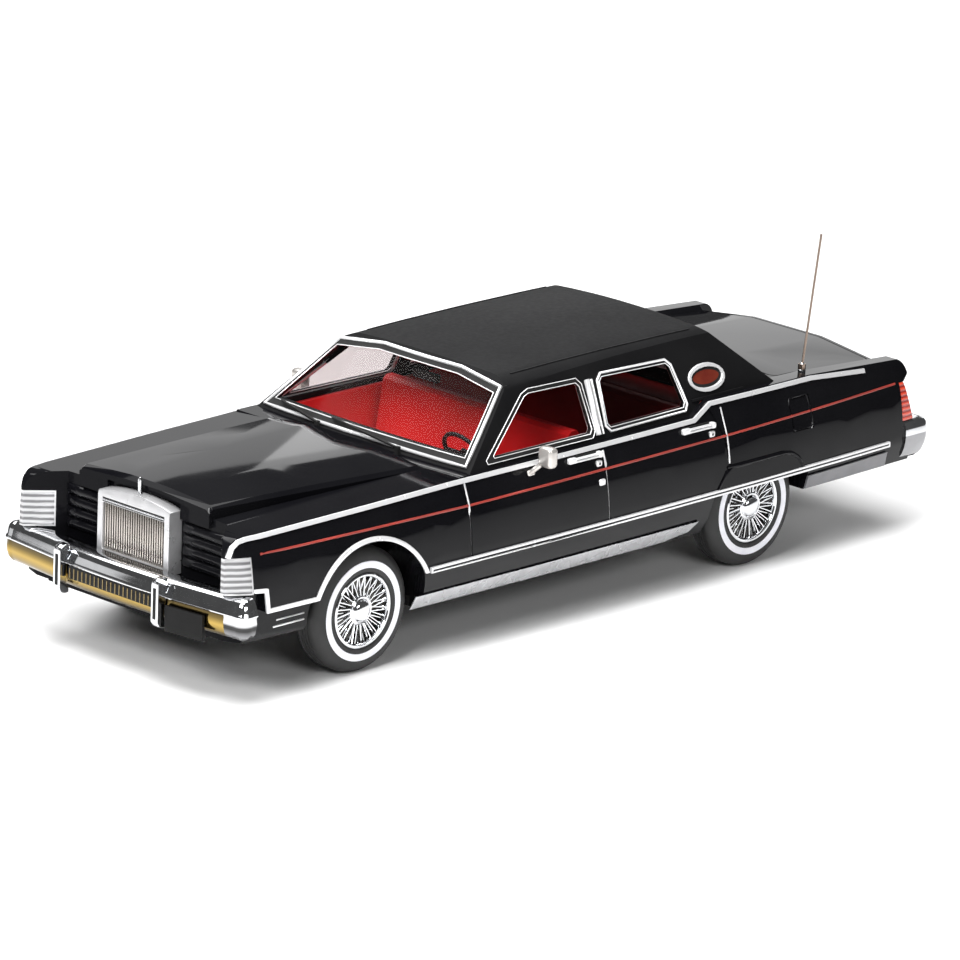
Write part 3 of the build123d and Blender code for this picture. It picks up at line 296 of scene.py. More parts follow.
def grained_vinyl():
    """Fine-grained black roof covering."""
    finish = new_finish("grained_vinyl", (0.012, 0.012, 0.013), 0.55)
    vary_colour(finish, cloudiness(finish, 90), (0.0045, 0.0045, 0.005), (0.008, 0.008, 0.0085))
    vary_roughness(finish, cloudiness(finish, 1500), 0.45, 0.6)
    raise_grain(finish, cloudiness(finish, 3500, 3), 0.25, 0.03)
    shader_of(finish).inputs["Specular IOR Level"].default_value = 0.08
    return finish


def plating(name, colour, low=0.05, high=0.14, metal=1.0, shade=0.82):
    """Plated metal with slight waviness and patches shaded by handling, its roughness from low to high."""
    finish = new_finish(name, colour, 0.08, metal)
    darker = tuple(shade * c for c in colour)
    vary_colour(finish, cloudiness(finish, 350), darker, colour)
    vary_roughness(finish, cloudiness(finish, 500), low, high)
    raise_grain(finish, cloudiness(finish, 400, 2), 0.05, 0.03)
    return finish


REFLECTION_FOOT = 9.0                 # heights between which the painted reflections on the front bumper's lower face change tone
REFLECTION_HEAD = 12.45


def painted_reflection_plating(name, foot, head, *bands):
    """Plating with painted reflections whose tone changes with height over the front bumper's lower face,
    from foot to head.

    Bands between them are given as (share of the height, colour).
    """
    finish = new_finish(name, head, 0.15, 1.0)
    tree = finish.node_tree
    where = tree.nodes.new("ShaderNodeTexCoord")
    split = tree.nodes.new("ShaderNodeSeparateXYZ")
    height = tree.nodes.new("ShaderNodeMapRange")
    height.inputs["From Min"].default_value = REFLECTION_FOOT * MM
    height.inputs["From Max"].default_value = REFLECTION_HEAD * MM
    tree.links.new(where.outputs["Object"], split.inputs["Vector"])
    tree.links.new(split.outputs["Z"], height.inputs["Value"])
    ramp = vary_colour(finish, height.outputs["Result"], foot, head, 0.0, 1.0)
    for place, colour in bands:
        ramp.color_ramp.elements.new(place).color = (*colour, 1)
    vary_roughness(finish, cloudiness(finish, 500), 0.08, 0.22)
    raise_grain(finish, cloudiness(finish, 260, 2), 0.3, 0.1)
    return finish


def satin_plastic(name, first, second, low=0.35, high=0.5):
    """Moulded plastic in two near shades with a fine moulded grain."""
    finish = new_finish(name, first, low)
    vary_colour(finish, cloudiness(finish, 220), first, second)
    vary_roughness(finish, cloudiness(finish, 900), low, high)
    raise_grain(finish, cloudiness(finish, 2500, 3), 0.12, 0.02)
    return finish


def painted_band():
    """White paint of the tyres' raised band."""
    finish = new_finish("white_band", (0.85, 0.85, 0.9), 0.4)
    vary_colour(finish, cloudiness(finish, 900), (0.82, 0.82, 0.88), (0.9, 0.9, 0.95))
    vary_roughness(finish, cloudiness(finish, 1500), 0.35, 0.5)
    return finish


def clear_pane(name, tint):
    """Thin clear plastic: see-through face on, a mirror towards grazing angles, and no mirror from inside."""
    finish = new_finish(name, (0.01, 0.01, 0.01), 0.03)
    tree = finish.node_tree
    vary_roughness(finish, cloudiness(finish, 300), 0.01, 0.05)
    through = tree.nodes.new("ShaderNodeBsdfTransparent")
    through.inputs["Color"].default_value = (*tint, 1)
    glance = tree.nodes.new("ShaderNodeFresnel")
    glance.inputs["IOR"].default_value = 1.5
    shine = tree.nodes.new("ShaderNodeMapRange")
    shine.inputs["To Min"].default_value = 0.03
    shine.inputs["To Max"].default_value = 1.0
    side = tree.nodes.new("ShaderNodeNewGeometry")
    outside = tree.nodes.new("ShaderNodeMath")
    outside.operation = "SUBTRACT"
    outside.inputs[0].default_value = 1.0
    share = tree.nodes.new("ShaderNodeMath")
    share.operation = "MULTIPLY"
    blend = tree.nodes.new("ShaderNodeMixShader")
    tree.links.new(glance.outputs["Fac"], shine.inputs["Value"])
    tree.links.new(side.outputs["Backfacing"], outside.inputs[1])
    tree.links.new(shine.outputs["Result"], share.inputs[0])
    tree.links.new(outside.outputs["Value"], share.inputs[1])
    tree.links.new(share.outputs["Value"], blend.inputs["Fac"])
    tree.links.new(through.outputs["BSDF"], blend.inputs[1])
    tree.links.new(shader_of(finish).outputs["BSDF"], blend.inputs[2])
    tree.links.new(blend.outputs["Shader"], tree.nodes["Material Output"].inputs["Surface"])
    return finish


WAVE_SCALE = 314                # Scale of the wave pattern that gives one rib to a millimetre


def ribbed_lens(name, dark, light, pitch, low, high):
    """Moulded lens with ribs across it every pitch mm, with painted highlights on their crowns and painted
    shade between.
    """
    finish = new_finish(name, light, 0.1)
    tree = finish.node_tree
    where = tree.nodes.new("ShaderNodeTexCoord")
    ribs = tree.nodes.new("ShaderNodeTexWave")
    ribs.wave_type = "BANDS"
    ribs.bands_direction = "Z"
    ribs.inputs["Scale"].default_value = WAVE_SCALE / pitch
    ribs.inputs["Distortion"].default_value = 0.6
    ribs.inputs["Detail"].default_value = 1.0
    tree.links.new(where.outputs["Object"], ribs.inputs["Vector"])
    # pale crowns and dark troughs in the colour: painted highlights and painted shade on the ribs
    vary_colour(finish, ribs.outputs["Fac"], dark, light, 0.15, 0.85)
    raise_grain(finish, ribs.outputs["Fac"], 0.6, 0.25)
    vary_roughness(finish, cloudiness(finish, 700), low, high)
    shader_of(finish).inputs["Coat Weight"].default_value = 1.0
    return finish


# ---------------------------------------------------------------- the car's finishes

LACQUER = black_lacquer("black_lacquer", 1.27)
# a copy of the lacquer that reflects less: painted shade for the nose's upright faces
SHADED_NOSE_LACQUER = black_lacquer("shaded_nose_lacquer", 1.13)
VINYL = grained_vinyl()

CHROME = plating("bright_plating", (0.80, 0.81, 0.83))
SHADED_PLATING = plating("shaded_plating", (0.34, 0.34, 0.35))
# dark plating for the dish and barrel sunk inside the wheels
DARK_PLATING = plating("dark_plating", (0.10, 0.095, 0.085), 0.15, 0.3)
TRIM = plating("satin_silver", (0.86, 0.86, 0.87), 0.22, 0.3, metal=0.42, shade=0.94)
BRUSHED = plating("brushed_trim", (0.72, 0.72, 0.74), 0.2, 0.34)
STEEL = plating("ground_steel", (0.5, 0.5, 0.52), 0.25, 0.4)
SHELL_METAL = plating("shell_metal", (0.60, 0.60, 0.61), 0.24, 0.34, metal=0.65)
GRILLE_METAL = plating("grille_metal", (0.50, 0.465, 0.43), 0.2, 0.32)
# dim gold-brown plating for the recess ribs: painted gold reflection and painted shade of the recess
RIB_GOLD_REFLECTION = plating("rib_gold_reflection", (0.26, 0.20, 0.10), 0.2, 0.35)
MIRROR_METAL = plating("mirror_metal", (0.66, 0.63, 0.60), 0.2, 0.3, metal=0.7)
WIRE = plating("antenna_wire", (0.35, 0.27, 0.22), 0.25, 0.4)
# painted reflections on the front bumper's lower face: a gold reflection with darker edges in the middle,
# light and dark bands at the corners
GOLD_REFLECTION_PLATING = painted_reflection_plating(
    "gold_reflection_plating", (0.05, 0.035, 0.012), (0.04, 0.03, 0.015),
    (0.25, (0.16, 0.11, 0.028)), (0.55, (0.40, 0.275, 0.075)), (0.8, (0.14, 0.10, 0.035)))
CORNER_REFLECTION_PLATING = painted_reflection_plating(
    "corner_reflection_plating", (0.10, 0.10, 0.10), (0.5, 0.5, 0.51),
    (0.2, (0.30, 0.30, 0.31)), (0.5, (0.04, 0.04, 0.04)), (0.62, (0.05, 0.05, 0.05)),
    (0.72, (0.6, 0.6, 0.61)))

RED_PLASTIC = satin_plastic("red_plastic", (0.72, 0.014, 0.018), (0.80, 0.022, 0.024))
# a brighter copy of the interior red for the dashboard: painted light on the dash top
LIT_DASH_RED = satin_plastic("lit_dash_red", (0.90, 0.02, 0.024), (0.95, 0.028, 0.03))
OPERA_RED = satin_plastic("opera_lens", (0.10, 0.012, 0.008), (0.17, 0.03, 0.015), 0.1, 0.2)
STRIPE_PAINT = satin_plastic("stripe_paint", (0.27, 0.03, 0.022), (0.34, 0.042, 0.03), 0.3, 0.4)
GREY_TRIM = satin_plastic("grey_trim", (0.16, 0.16, 0.17), (0.22, 0.22, 0.23), 0.4, 0.5)
RUBBER = satin_plastic("tyre_rubber", (0.012, 0.012, 0.012), (0.02, 0.02, 0.02), 0.5, 0.7)
WHITE_BAND = painted_band()
BLACK_PLASTIC = satin_plastic("black_plastic", (0.012, 0.012, 0.012), (0.02, 0.02, 0.02), 0.4, 0.6)
PLATE_BLACK = satin_plastic("plate_black", (0.006, 0.006, 0.006), (0.01, 0.01, 0.01), 0.2, 0.3)
for dull in (BLACK_PLASTIC, PLATE_BLACK):
    shader_of(dull).inputs["Specular IOR Level"].default_value = 0.1

GLASS = clear_pane("clear_glass", (0.93, 0.95, 0.95))
# reddish tints that darken the cabin seen through the side panes: painted shade, deeper behind the door post
SHADED_FRONT_PANE = clear_pane("shaded_front_side_pane", (0.80, 0.74, 0.74))
SHADED_REAR_PANE = clear_pane("shaded_rear_side_pane", (0.46, 0.36, 0.36))
LAMP_CLEAR = ribbed_lens("lamp_lens", (0.10, 0.10, 0.105), (0.46, 0.46, 0.47), 0.8, 0.05, 0.2)
TAIL_RED = ribbed_lens("tail_lens", (0.30, 0.015, 0.01), (0.75, 0.07, 0.03), 0.7, 0.06, 0.16)

SLOT_FINISH = {
    "black_paint": LACQUER, "vinyl_black": VINYL, "chrome": CHROME, "clear_glass": GLASS,
    "opera_glass": OPERA_RED, "red_trim": RED_PLASTIC, "black_plastic": BLACK_PLASTIC, "steel": STEEL,
    "brushed_trim": BRUSHED, "grey_trim": GREY_TRIM, "clear_lens": LAMP_CLEAR, "red_lens": TAIL_RED,
    "plate_black": PLATE_BLACK, "antenna_metal": WIRE,
}
NODE_FINISH = {
    "windscreen_frame": BLACK_PLASTIC, "rear_window_frame": BLACK_PLASTIC,
    "side_window_frames": BLACK_PLASTIC, "opera_frames": TRIM, "arch_trims": TRIM,
    "grille_shell": SHELL_METAL, "dashboard": LIT_DASH_RED,
}

# ---------------------------------------------------------------- carried-over parts

# rounding of a copy's edges in mm, by material slot
ROUNDING = {"black_paint": 0.22, "chrome": 0.12, "brushed_trim": 0.2, "red_lens": 0.2, "red_trim": 0.5}
SHARP_NODES = (
    "side_window_frames", "windscreen_frame", "rear_window_frame", "shoulder_strips", "side_mouldings",
    "corner_lamps",
)
WHEEL_NODES = [
    f"{end}_{side}_{part}"
    for end in ("front", "rear") for side in ("left", "right") for part in ("wheel", "tyre")
]
REBUILT_NODES = [
    "front_bumper", "rear_bumper", "grille_bars", "headlamp_doors", "door_handles", "door_mirrors",
    *WHEEL_NODES,
]


def carry_over():
    """Every CAD part that keeps its shape, merged, edged and finished."""
    kept = {}
    for part in frame["record"]["subparts"]:
        node, slot = part["node"], part["material_slot"]
        if node in REBUILT_NODES:
            continue
        rounding = 0.0 if node in SHARP_NODES else ROUNDING.get(slot, 0.0)
        finish = NODE_FINISH.get(node, SLOT_FINISH[slot])
        kept[node] = smooth_copy(node, finish, nodes[node]["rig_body"], rounding)
    return kept


copies = carry_over()
body = copies["body_shell"]
roof = copies["roof_shell"]

NOSE_FROM = 56
UPRIGHT = 0.6


def shade_nose_faces():
    """Less glossy lacquer on the upright faces of the nose, as painted shade that darkens their reflections.
    """
    give(body, LACQUER, SHADED_NOSE_LACQUER)
    for face in body.data.polygons:
        face.material_index = 1 if face.normal.x > UPRIGHT and face.center.x > NOSE_FROM * MM else 0


shade_nose_faces()

DOOR_POST_X = -3.2


def shade_side_panes():
    """Tints the rear side panes deeper than the front ones, as painted shade over the cabin seen through
    them.
    """
    panes = copies["side_glass"]
    give(panes, SHADED_FRONT_PANE, SHADED_REAR_PANE)
    for face in panes.data.polygons:
        face.material_index = 0 if face.center.x > DOOR_POST_X * MM else 1


shade_side_panes()

# ---------------------------------------------------------------- forming


def formed_sheet(name, rows):
    """A grid whose points are set row by row in mm; edges that meet are merged."""
    across, along = len(rows[0]) - 1, len(rows) - 1
    bpy.ops.object.select_all(action="DESELECT")
    bpy.ops.mesh.primitive_grid_add(x_subdivisions=across, y_subdivisions=along, size=1)
    piece = bpy.context.object
    piece.name = name
    points = [point for row in rows for point in row]
    for vertex, point in zip(piece.data.vertices, points):
        vertex.co = Vector(point) * MM
    bpy.ops.object.mode_set(mode="EDIT")
    bpy.ops.mesh.select_all(action="SELECT")
    bpy.ops.mesh.remove_doubles(threshold=MERGE_DISTANCE * MM)
    bpy.ops.mesh.normals_make_consistent(inside=False)
    bpy.ops.object.mode_set(mode="OBJECT")
    return piece


def middle_of(points):
    return sum((Vector(point) for point in points), Vector()) / len(points)


def closed_ends(rows):
    """Adds an end at each side of a run of closed sections, drawn to the section's middle."""
    first, last = ([tuple(middle_of(row))] * len(row) for row in (rows[0], rows[-1]))
    return [first, *rows, last]


def swept_bar(name, half, section, swell=0.0):
    """A bar whose section, (out, z), follows half a path, (x, y, facing), and its mirror image.

    Swell is how far it fills out in its turning corners.
    """
    stations = [(x, -y, -facing) for x, y, facing in reversed(half[1:])] + half
    rows = []
    for x, y, facing in stations:
        fuller = swell * max(0.0, sin(2 * abs(facing)))
        rows.append([
            (x + (out + fuller) * cos(facing), y + (out + fuller) * sin(facing), z)
            for out, z in section + section[:1]])
    return formed_sheet(name, closed_ends(rows))


def turned(name, x, z, profile, sides):
    """A part turned about a line along Y through x, z; profile is (radius, y) in mm from edge to edge."""
    turns = [2 * pi * k / sides for k in range(sides + 1)]
    turns[-1] = 0.0
    rows = [[(x + r * cos(a), y, z + r * sin(a)) for a in turns] for r, y in profile]
    return formed_sheet(name, rows)


def rod(name, start, end, radius, sides):
    """A straight wire from start to end, in mm."""
    start, end = Vector(start), Vector(end)
    along = end - start
    bpy.ops.object.select_all(action="DESELECT")
    bpy.ops.mesh.primitive_cylinder_add(
        vertices=sides, radius=radius * MM, depth=along.length * MM, location=(start + end) / 2 * MM,
        rotation=along.to_track_quat("Z", "Y").to_euler())
    piece = bpy.context.object
    piece.name = name
    return settle(piece)


def rounded_block(name, low, high, rounding):
    """A block between two corners, in mm, with rounded edges."""
    low, high = Vector(low), Vector(high)
    bpy.ops.object.select_all(action="DESELECT")
    bpy.ops.mesh.primitive_cube_add(size=1, location=(low + high) / 2 * MM, scale=(high - low) * MM)
    piece = bpy.context.object
    piece.name = name
    settle(piece)
    round_edges(piece, rounding, 3)
    return piece


def bead(name, points, radius, closed=False):
    """A thin round line laid through points, in mm."""
    curve = bpy.data.curves.new(name, "CURVE")
    curve.dimensions = "3D"
    curve.bevel_depth = radius * MM
    curve.bevel_resolution = 1
    line = curve.splines.new("POLY")
    line.points.add(len(points) - 1)
    for knot, point in zip(line.points, points):
        knot.co = (*(Vector(point) * MM), 1)
    line.use_cyclic_u = closed
    curve.use_fill_caps = not closed
    holder = bpy.data.objects.new(name, curve)
    bpy.context.scene.collection.objects.link(holder)
    pick(holder)
    bpy.ops.object.convert(target="MESH")
    return bpy.context.object


def joined(name, parts):
    """Joins parts into the first."""
    bpy.ops.object.select_all(action="DESELECT")
    for part in parts:
        part.select_set(True)
    bpy.context.view_layer.objects.active = parts[0]
    bpy.ops.object.join()
    parts[0].name = name
    return parts[0]


def place_on(piece, body_name, slot, *finishes, angle=35, stands_for=()):
    """Finishes a new piece: its materials, shading, CAD body and the nodes that it stands for. Slot is not
    used.
    """
    give(piece, *finishes)
    pick(piece)
    bpy.ops.object.shade_smooth_by_angle(angle=radians(angle))
    if stands_for:
        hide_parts(*stands_for)
    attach(piece, body_name)


def mirrored_copy(piece, name):
    """A copy on the car's other side, with its faces turned the right way out."""
    twin = own_copy(piece, name)
    twin.scale.y = -1
    settle(twin)
    bpy.ops.object.mode_set(mode="EDIT")
    bpy.ops.mesh.select_all(action="SELECT")
    bpy.ops.mesh.normals_make_consistent(inside=False)
    bpy.ops.object.mode_set(mode="OBJECT")
    return twin


def moved_copy(piece, name, shift_x):
    """A copy moved along the car by so many mm."""
    twin = own_copy(piece, name)
    twin.location.x = shift_x * MM
    return settle(twin)


def both_sides(piece, slot, finish, angle=50, stands_for=()):
    """Finishes a piece of the left side and its mirrored twin."""
    twin = mirrored_copy(piece, piece.name + "_right")
    piece.name += "_left"
    place_on(piece, "root", slot, finish, angle=angle, stands_for=stands_for)
    place_on(twin, "root", slot, finish, angle=angle)


# ---------------------------------------------------------------- wheels

AXLE_PLACE = {joint["child"]: joint["pos_m"] for joint in frame["joints"]}
FRONT_AXLE = AXLE_PLACE["front_wheelset"][0] / MM
REAR_AXLE = AXLE_PLACE["rear_wheelset"][0] / MM
AXLE_Z = AXLE_PLACE["front_wheelset"][2] / MM
TYRE_RADIUS = AXLE_Z            # the tyres stand on the floor
TYRE_FACE = 21.5                # outermost and innermost reach of the tyre from the car's middle
TYRE_BACK = 16.8
TREAD_FRONT = 20.2
TREAD_PITCH = 0.26
TREAD_DEPTH = 0.14
BEAD_RADIUS = 5.1
BAND_INNER = 5.9
BAND_OUTER = 6.75
BAND_RAISED_FROM = 21.39
SPOKE_PAIRS = 24
SPOKE_LEAN = radians(5.2)
SPOKE_ROOT = 1.85
SPOKE_TIP = 4.6
SPOKE_RADIUS = 0.11
OUTER_SIDES = 96                # sides of the turned shapes, outer and inner
INNER_SIDES = 64


def tyre(x):
    """Rounded tyre with tread grooves, a bead groove and a raised white band."""
    treads = []
    for k in range(1, 9):
        r = TYRE_RADIUS - (0.0 if k % 2 else TREAD_DEPTH)
        y = TREAD_FRONT - TREAD_PITCH * k
        treads += [(r, y + 0.1), (r, y - 0.1)]
    piece = turned("tyre", x, AXLE_Z, [
        (BEAD_RADIUS, 20.6), (5.12, 21.1), (5.3, 21.33), (5.6, 21.4), (BAND_INNER - 0.05, 21.4),
        (BAND_INNER, 21.47), (6.3, TYRE_FACE), (BAND_OUTER, 21.47), (BAND_OUTER + 0.05, 21.4), (7.3, 21.32),
        (7.85, 21.1), (8.22, 20.8), (8.45, 20.45), (TYRE_RADIUS, TREAD_FRONT), *treads, (TYRE_RADIUS, 17.9),
        (8.45, 17.6), (8.2, 17.3), (7.7, 17.05), (6.6, 16.85), (5.3, TYRE_BACK), (BEAD_RADIUS, 17.2),
        (BEAD_RADIUS, 20.6),
    ], OUTER_SIDES)
    give(piece, RUBBER, WHITE_BAND)
    for face in piece.data.polygons:
        away = Vector((face.center.x - x * MM, face.center.z - AXLE_Z * MM)).length / MM
        if BAND_INNER - 0.03 < away < BAND_OUTER + 0.03 and face.center.y > BAND_RAISED_FROM * MM:
            face.material_index = 1
    return piece


def crossed_wires(x):
    """Wires from the hub to the rim in pairs that lean apart, the inner one rooted further back."""
    wires = []
    for k in range(SPOKE_PAIRS):
        a = 2 * pi * k / SPOKE_PAIRS
        for lean, root_y, tip_y in ((-SPOKE_LEAN, 20.85, 20.75), (SPOKE_LEAN, 20.35, 21.0)):
            start = (x + SPOKE_ROOT * cos(a), root_y, AXLE_Z + SPOKE_ROOT * sin(a))
            end = (x + SPOKE_TIP * cos(a + lean), tip_y, AXLE_Z + SPOKE_TIP * sin(a + lean))
            wires.append(rod("wire", start, end, SPOKE_RADIUS, 6))
    return wires


def wire_wheel(x):
    """Plated rim with a deep dark dish and barrel, crossed wires from the hub to the rim, and a plain domed
    hub.
    """
    rim = turned("rim", x, AXLE_Z, [
        (BEAD_RADIUS, 20.3), (5.15, 21.1), (5.1, 21.32), (4.95, 21.42), (4.75, 21.38), (4.62, 21.2),
        (4.5, 20.6), (4.45, 19.6), (4.3, 19.2), (5.05, 18.9), (BEAD_RADIUS, 20.3),
    ], OUTER_SIDES)
    dish = turned("dish", x, AXLE_Z, [
        (4.45, 19.6), (4.2, 19.25), (3.2, 19.05), (2.0, 19.3), (0.9, 19.6), (0.0, 19.6),
    ], INNER_SIDES)
    barrel = turned("barrel", x, AXLE_Z, [
        (BEAD_RADIUS, 18.9), (BEAD_RADIUS, TYRE_BACK), (4.6, TYRE_BACK), (4.4, 18.7), (1.0, 18.6),
        (0.0, 18.6),
    ], INNER_SIDES)
    hub = turned("hub", x, AXLE_Z, [
        (1.7, 19.4), (1.85, 20.5), (1.98, 20.75), (1.98, 20.95), (1.85, 21.05), (1.62, 21.0), (1.5, 21.08),
        (1.42, 21.25), (1.2, 21.45), (0.85, 21.6), (0.45, 21.68), (0.0, 21.7),
    ], INNER_SIDES)
    parts = [rim, dish, barrel, hub, *crossed_wires(x)]
    for part in parts:
        give(part, CHROME, DARK_PLATING)
    for darkened in (dish, barrel):
        for face in darkened.data.polygons:
            face.material_index = 1
    return joined("wheel", parts)


def fit_wheels():
    """One tyre and one wire wheel, copied to the four corners."""
    models = {
        "tyre": (tyre(FRONT_AXLE), "tyre", (RUBBER, WHITE_BAND)),
        "wheel": (wire_wheel(FRONT_AXLE), "chrome", (CHROME, DARK_PLATING)),
    }
    for end, shift in (("front", 0.0), ("rear", REAR_AXLE - FRONT_AXLE)):
        for side in ("left", "right"):
            for part, (model, slot, finishes) in models.items():
                node = f"{end}_{side}_{part}"
                piece = moved_copy(model, node + "_made", shift)
                if side == "right":
                    other = mirrored_copy(piece, node + "_turned")
                    bpy.data.objects.remove(piece)
                    piece = other
                place_on(piece, f"{end}_wheelset", slot, *finishes, stands_for=(node,))
    for model, _, _ in models.values():
        bpy.data.objects.remove(model)


fit_wheels()

# ---------------------------------------------------------------- lines on the body side

OUTSIDE = 40                    # a distance well clear of the car's flank
FRONT_DOOR_X = 24.2             # gaps ahead of the front door, between the doors, and behind the rear one
PILLAR_X = -2.0
REAR_DOOR_X = -26.0
MOULDING_TOP = 13.1
SUNK_POINT = 0.12               # a point this much below its neighbours' mean lies in a gap and is left out


def on_side(x, z, sink=0.0):
    """The point of the body's left side at x, z, in mm, sunk by so much; the origin where nothing is met."""
    return surface_point(body, (x, OUTSIDE, z), (0, -1, 0), sink) or Vector()


def along_runs(knots, steps):
    """Points along straight runs between knots, steps to a run."""
    points = []
    for (x0, z0), (x1, z1) in zip(knots, knots[1:]):
        points += [(x0 + (x1 - x0) * k / steps, z0 + (z1 - z0) * k / steps) for k in range(steps)]
    return points + [knots[-1]]


def side_line(name, knots, radius, sink, finish, slot, steps=12):
    """A line of so much radius and sink along both body sides through knots (x, z), all in mm."""
    points = [on_side(x, z, sink) for x, z in along_runs(knots, steps)]
    neighbours = zip(points[:1] + points, points, points[1:] + points[-1:])
    points = [here for last, here, after in neighbours if here.y > (last.y + after.y) / 2 - SUNK_POINT]
    both_sides(bead(name, points, radius), slot, finish, angle=60)


def pinstripe():
    """Red stripe from the front fender to the tail, with a knot on each side of every gap that it crosses."""
    knots = [
        (61.5, 20.08), (42, 19.9), (FRONT_DOOR_X + 0.6, 19.75), (FRONT_DOOR_X - 0.6, 19.74),
        (PILLAR_X + 1, 19.98), (PILLAR_X - 1, 20.02), (REAR_DOOR_X + 0.6, 20.2), (REAR_DOOR_X - 0.6, 20.22),
        (-38.6, 20.4), (-44.4, 20.5), (-62, 20.88),
    ]
    side_line("stripe", knots, 0.23, 0.13, STRIPE_PAINT, "red_trim", 5)


def door_lines():
    """Bright lines in the gaps of the doors."""
    for name, x, top, foot, radius in (
            ("front_door_line", FRONT_DOOR_X, 23.5, MOULDING_TOP, 0.14),
            ("pillar_line", PILLAR_X, 23.2, MOULDING_TOP, 0.18),
            ("rear_door_line", REAR_DOOR_X, 24.6, 16.4, 0.13)):
        side_line(name, [(x, top), (x, foot)], radius, 0.02, TRIM, "chrome")


def fuel_flap():
    """Outline of the fuel flap with clipped corners, and a thin silver bead along its rear edge as a painted
    highlight.
    """
    gap = [
        (-39.9, 22.7), (-43.1, 22.7), (-43.5, 22.4), (-43.5, 18.7), (-43.1, 18.3), (-39.9, 18.3),
        (-39.5, 18.7), (-39.5, 22.4), (-39.9, 22.7),
    ]
    side_line("flap_gap", gap, 0.17, 0.05, LACQUER, "black_paint", 4)
    # a thin silver bead as a painted highlight along the flap's rear edge
    side_line("flap_painted_glint", [(-43.62, 22.2), (-43.62, 18.7), (-43.2, 18.15)], 0.06, -0.02, TRIM, "chrome", 6)


def wheel_brow():
    """Raised brow over the covered top of the rear wheel."""
    knots = [(-25.5, 15.9), (-37.0, 15.9), (-38.6, 15.6), (-39.9, 14.8), (-40.6, 13.9), (-40.9, 13.2)]
    side_line("wheel_brow", knots, 0.32, 0.12, LACQUER, "black_paint", 6)


def lower_fender_lines():
    """Two short bright lines below the moulding, ahead of the front wheel."""
    side_line("lower_fender_slot", [(52.4, 10.6), (58.4, 10.6)], 0.12, 0.03, TRIM, "chrome", 6)
    side_line("lower_fender_line", [(53.4, 9.75), (59.0, 9.75)], 0.14, 0.03, TRIM, "chrome", 6)


pinstripe()
door_lines()
fuel_flap()
wheel_brow()
lower_fender_lines()

# ---------------------------------------------------------------- window frames and strips


def faces_sideways(normal):
    return abs(normal.y) > 0.75


def faces_ahead(normal):
    return normal.x > 0.35 and normal.z > 0.3


def faces_behind(normal):
    return normal.x < -0.35 and normal.z > 0.3


def faces_lamp_front(normal):
    return normal.x > 0.1 and abs(normal.z) < 0.5


def split_band(node, edging, faces_out, band, edge):
    """Splits a part's outer faces into an edging, so many mm wide, and the band inside it."""
    piece = copies[node]
    give(piece, band, edge)
    pick(piece)
    for face in piece.data.polygons:
        face.select = faces_out(face.normal)
    bpy.ops.object.mode_set(mode="EDIT")
    bpy.ops.mesh.select_mode(type="FACE")
    bpy.ops.mesh.inset(thickness=edging * MM, depth=0, use_boundary=True)
    bpy.ops.object.mode_set(mode="OBJECT")
    for face in piece.data.polygons:
        face.material_index = 0 if face.select else 1
    bpy.ops.object.shade_smooth_by_angle(angle=SMOOTH_WITHIN)


split_band("shoulder_strips", 0.2, faces_sideways, TRIM, LACQUER)
split_band("side_mouldings", 0.27, faces_sideways, BLACK_PLASTIC, TRIM)
split_band("opera_windows", 0.45, faces_sideways, OPERA_RED, BLACK_PLASTIC)
split_band("corner_lamps", 0.2, faces_lamp_front, LAMP_CLEAR, SHELL_METAL)


def outlines(node, faces_out):
    """The closed edge lines, in mm, around a CAD node's outer faces."""
    mesh = nodes[node].data
    uses = {}
    for face in mesh.polygons:
        if faces_out(face.normal):
            corners = [tuple(round(c / MM, 3) for c in mesh.vertices[v].co) for v in face.vertices]
            for pair in zip(corners, corners[1:] + corners[:1]):
                edge = tuple(sorted(pair))
                uses[edge] = uses.get(edge, 0) + 1
    beside = {}
    for a, b in (edge for edge, count in uses.items() if count == 1):
        beside.setdefault(a, []).append(b)
        beside.setdefault(b, []).append(a)
    lines, seen = [], set()
    for start in beside:
        if start in seen:
            continue
        line, ahead = [], start
        while ahead:
            line.append(Vector(ahead))
            seen.add(ahead)
            ahead = next((spot for spot in beside[ahead] if spot not in seen), None)
        lines.append(line)
    return lines


def drawn_in(line, amount):
    """A closed line drawn towards its middle by so many mm, with points closer than a tenth left out."""
    middle = middle_of(line)
    line = [point + (middle - point).normalized() * amount for point in line]
    return [point for point, last in zip(line, line[-1:] + line[:-1]) if (point - last).length > 0.1]


def reach(line):
    """How far a line goes from its middle, in mm."""
    middle = middle_of(line)
    return max((point - middle).length for point in line)


SAME_WINDOW = 3                 # lines whose middles are nearer than this go round the same window


def edge_beads(node, faces_out, outer, inner):
    """Bright beads, with radii in mm, along the outer and inner edges of a window frame's dark band."""
    lines = outlines(node, faces_out)
    for k, line in enumerate(lines):
        middle = middle_of(line)
        others = [
            other for other in lines
            if other is not line and (middle_of(other) - middle).length < SAME_WINDOW]
        is_outer = all(reach(line) > reach(other) for other in others)
        radius, shift = (outer, 0.75 * outer) if is_outer else (inner, -0.05)
        edge = bead(f"{node}_edge_{k}", drawn_in(line, shift), radius, closed=True)
        place_on(edge, "root", "chrome", TRIM, angle=60)


edge_beads("windscreen_frame", faces_ahead, 0.27, 0.09)
edge_beads("rear_window_frame", faces_behind, 0.22, 0.09)
edge_beads("side_window_frames", faces_sideways, 0.19, 0.07)


def flank(x, z):
    """A point just inside the left flank of the glasshouse, which leans in by half its rise, in mm."""
    return (x, 20.21 - 0.5 * (z - 23.7), z - 0.045)


def pillar_strip(name, x, radius):
    """An upright bead up the pillar between the doors, leaning back a little."""
    foot, head, lean = 24.1, 30.9, 0.7
    points = [flank(x - lean * k / 8, foot + (head - foot) * k / 8) for k in range(9)]
    both_sides(bead(name, points, radius), "chrome", TRIM, angle=60)


pillar_strip("pillar_strip", -2.6, 0.42)
pillar_strip("pillar_edge", -3.5, 0.16)

# ---------------------------------------------------------------- nose

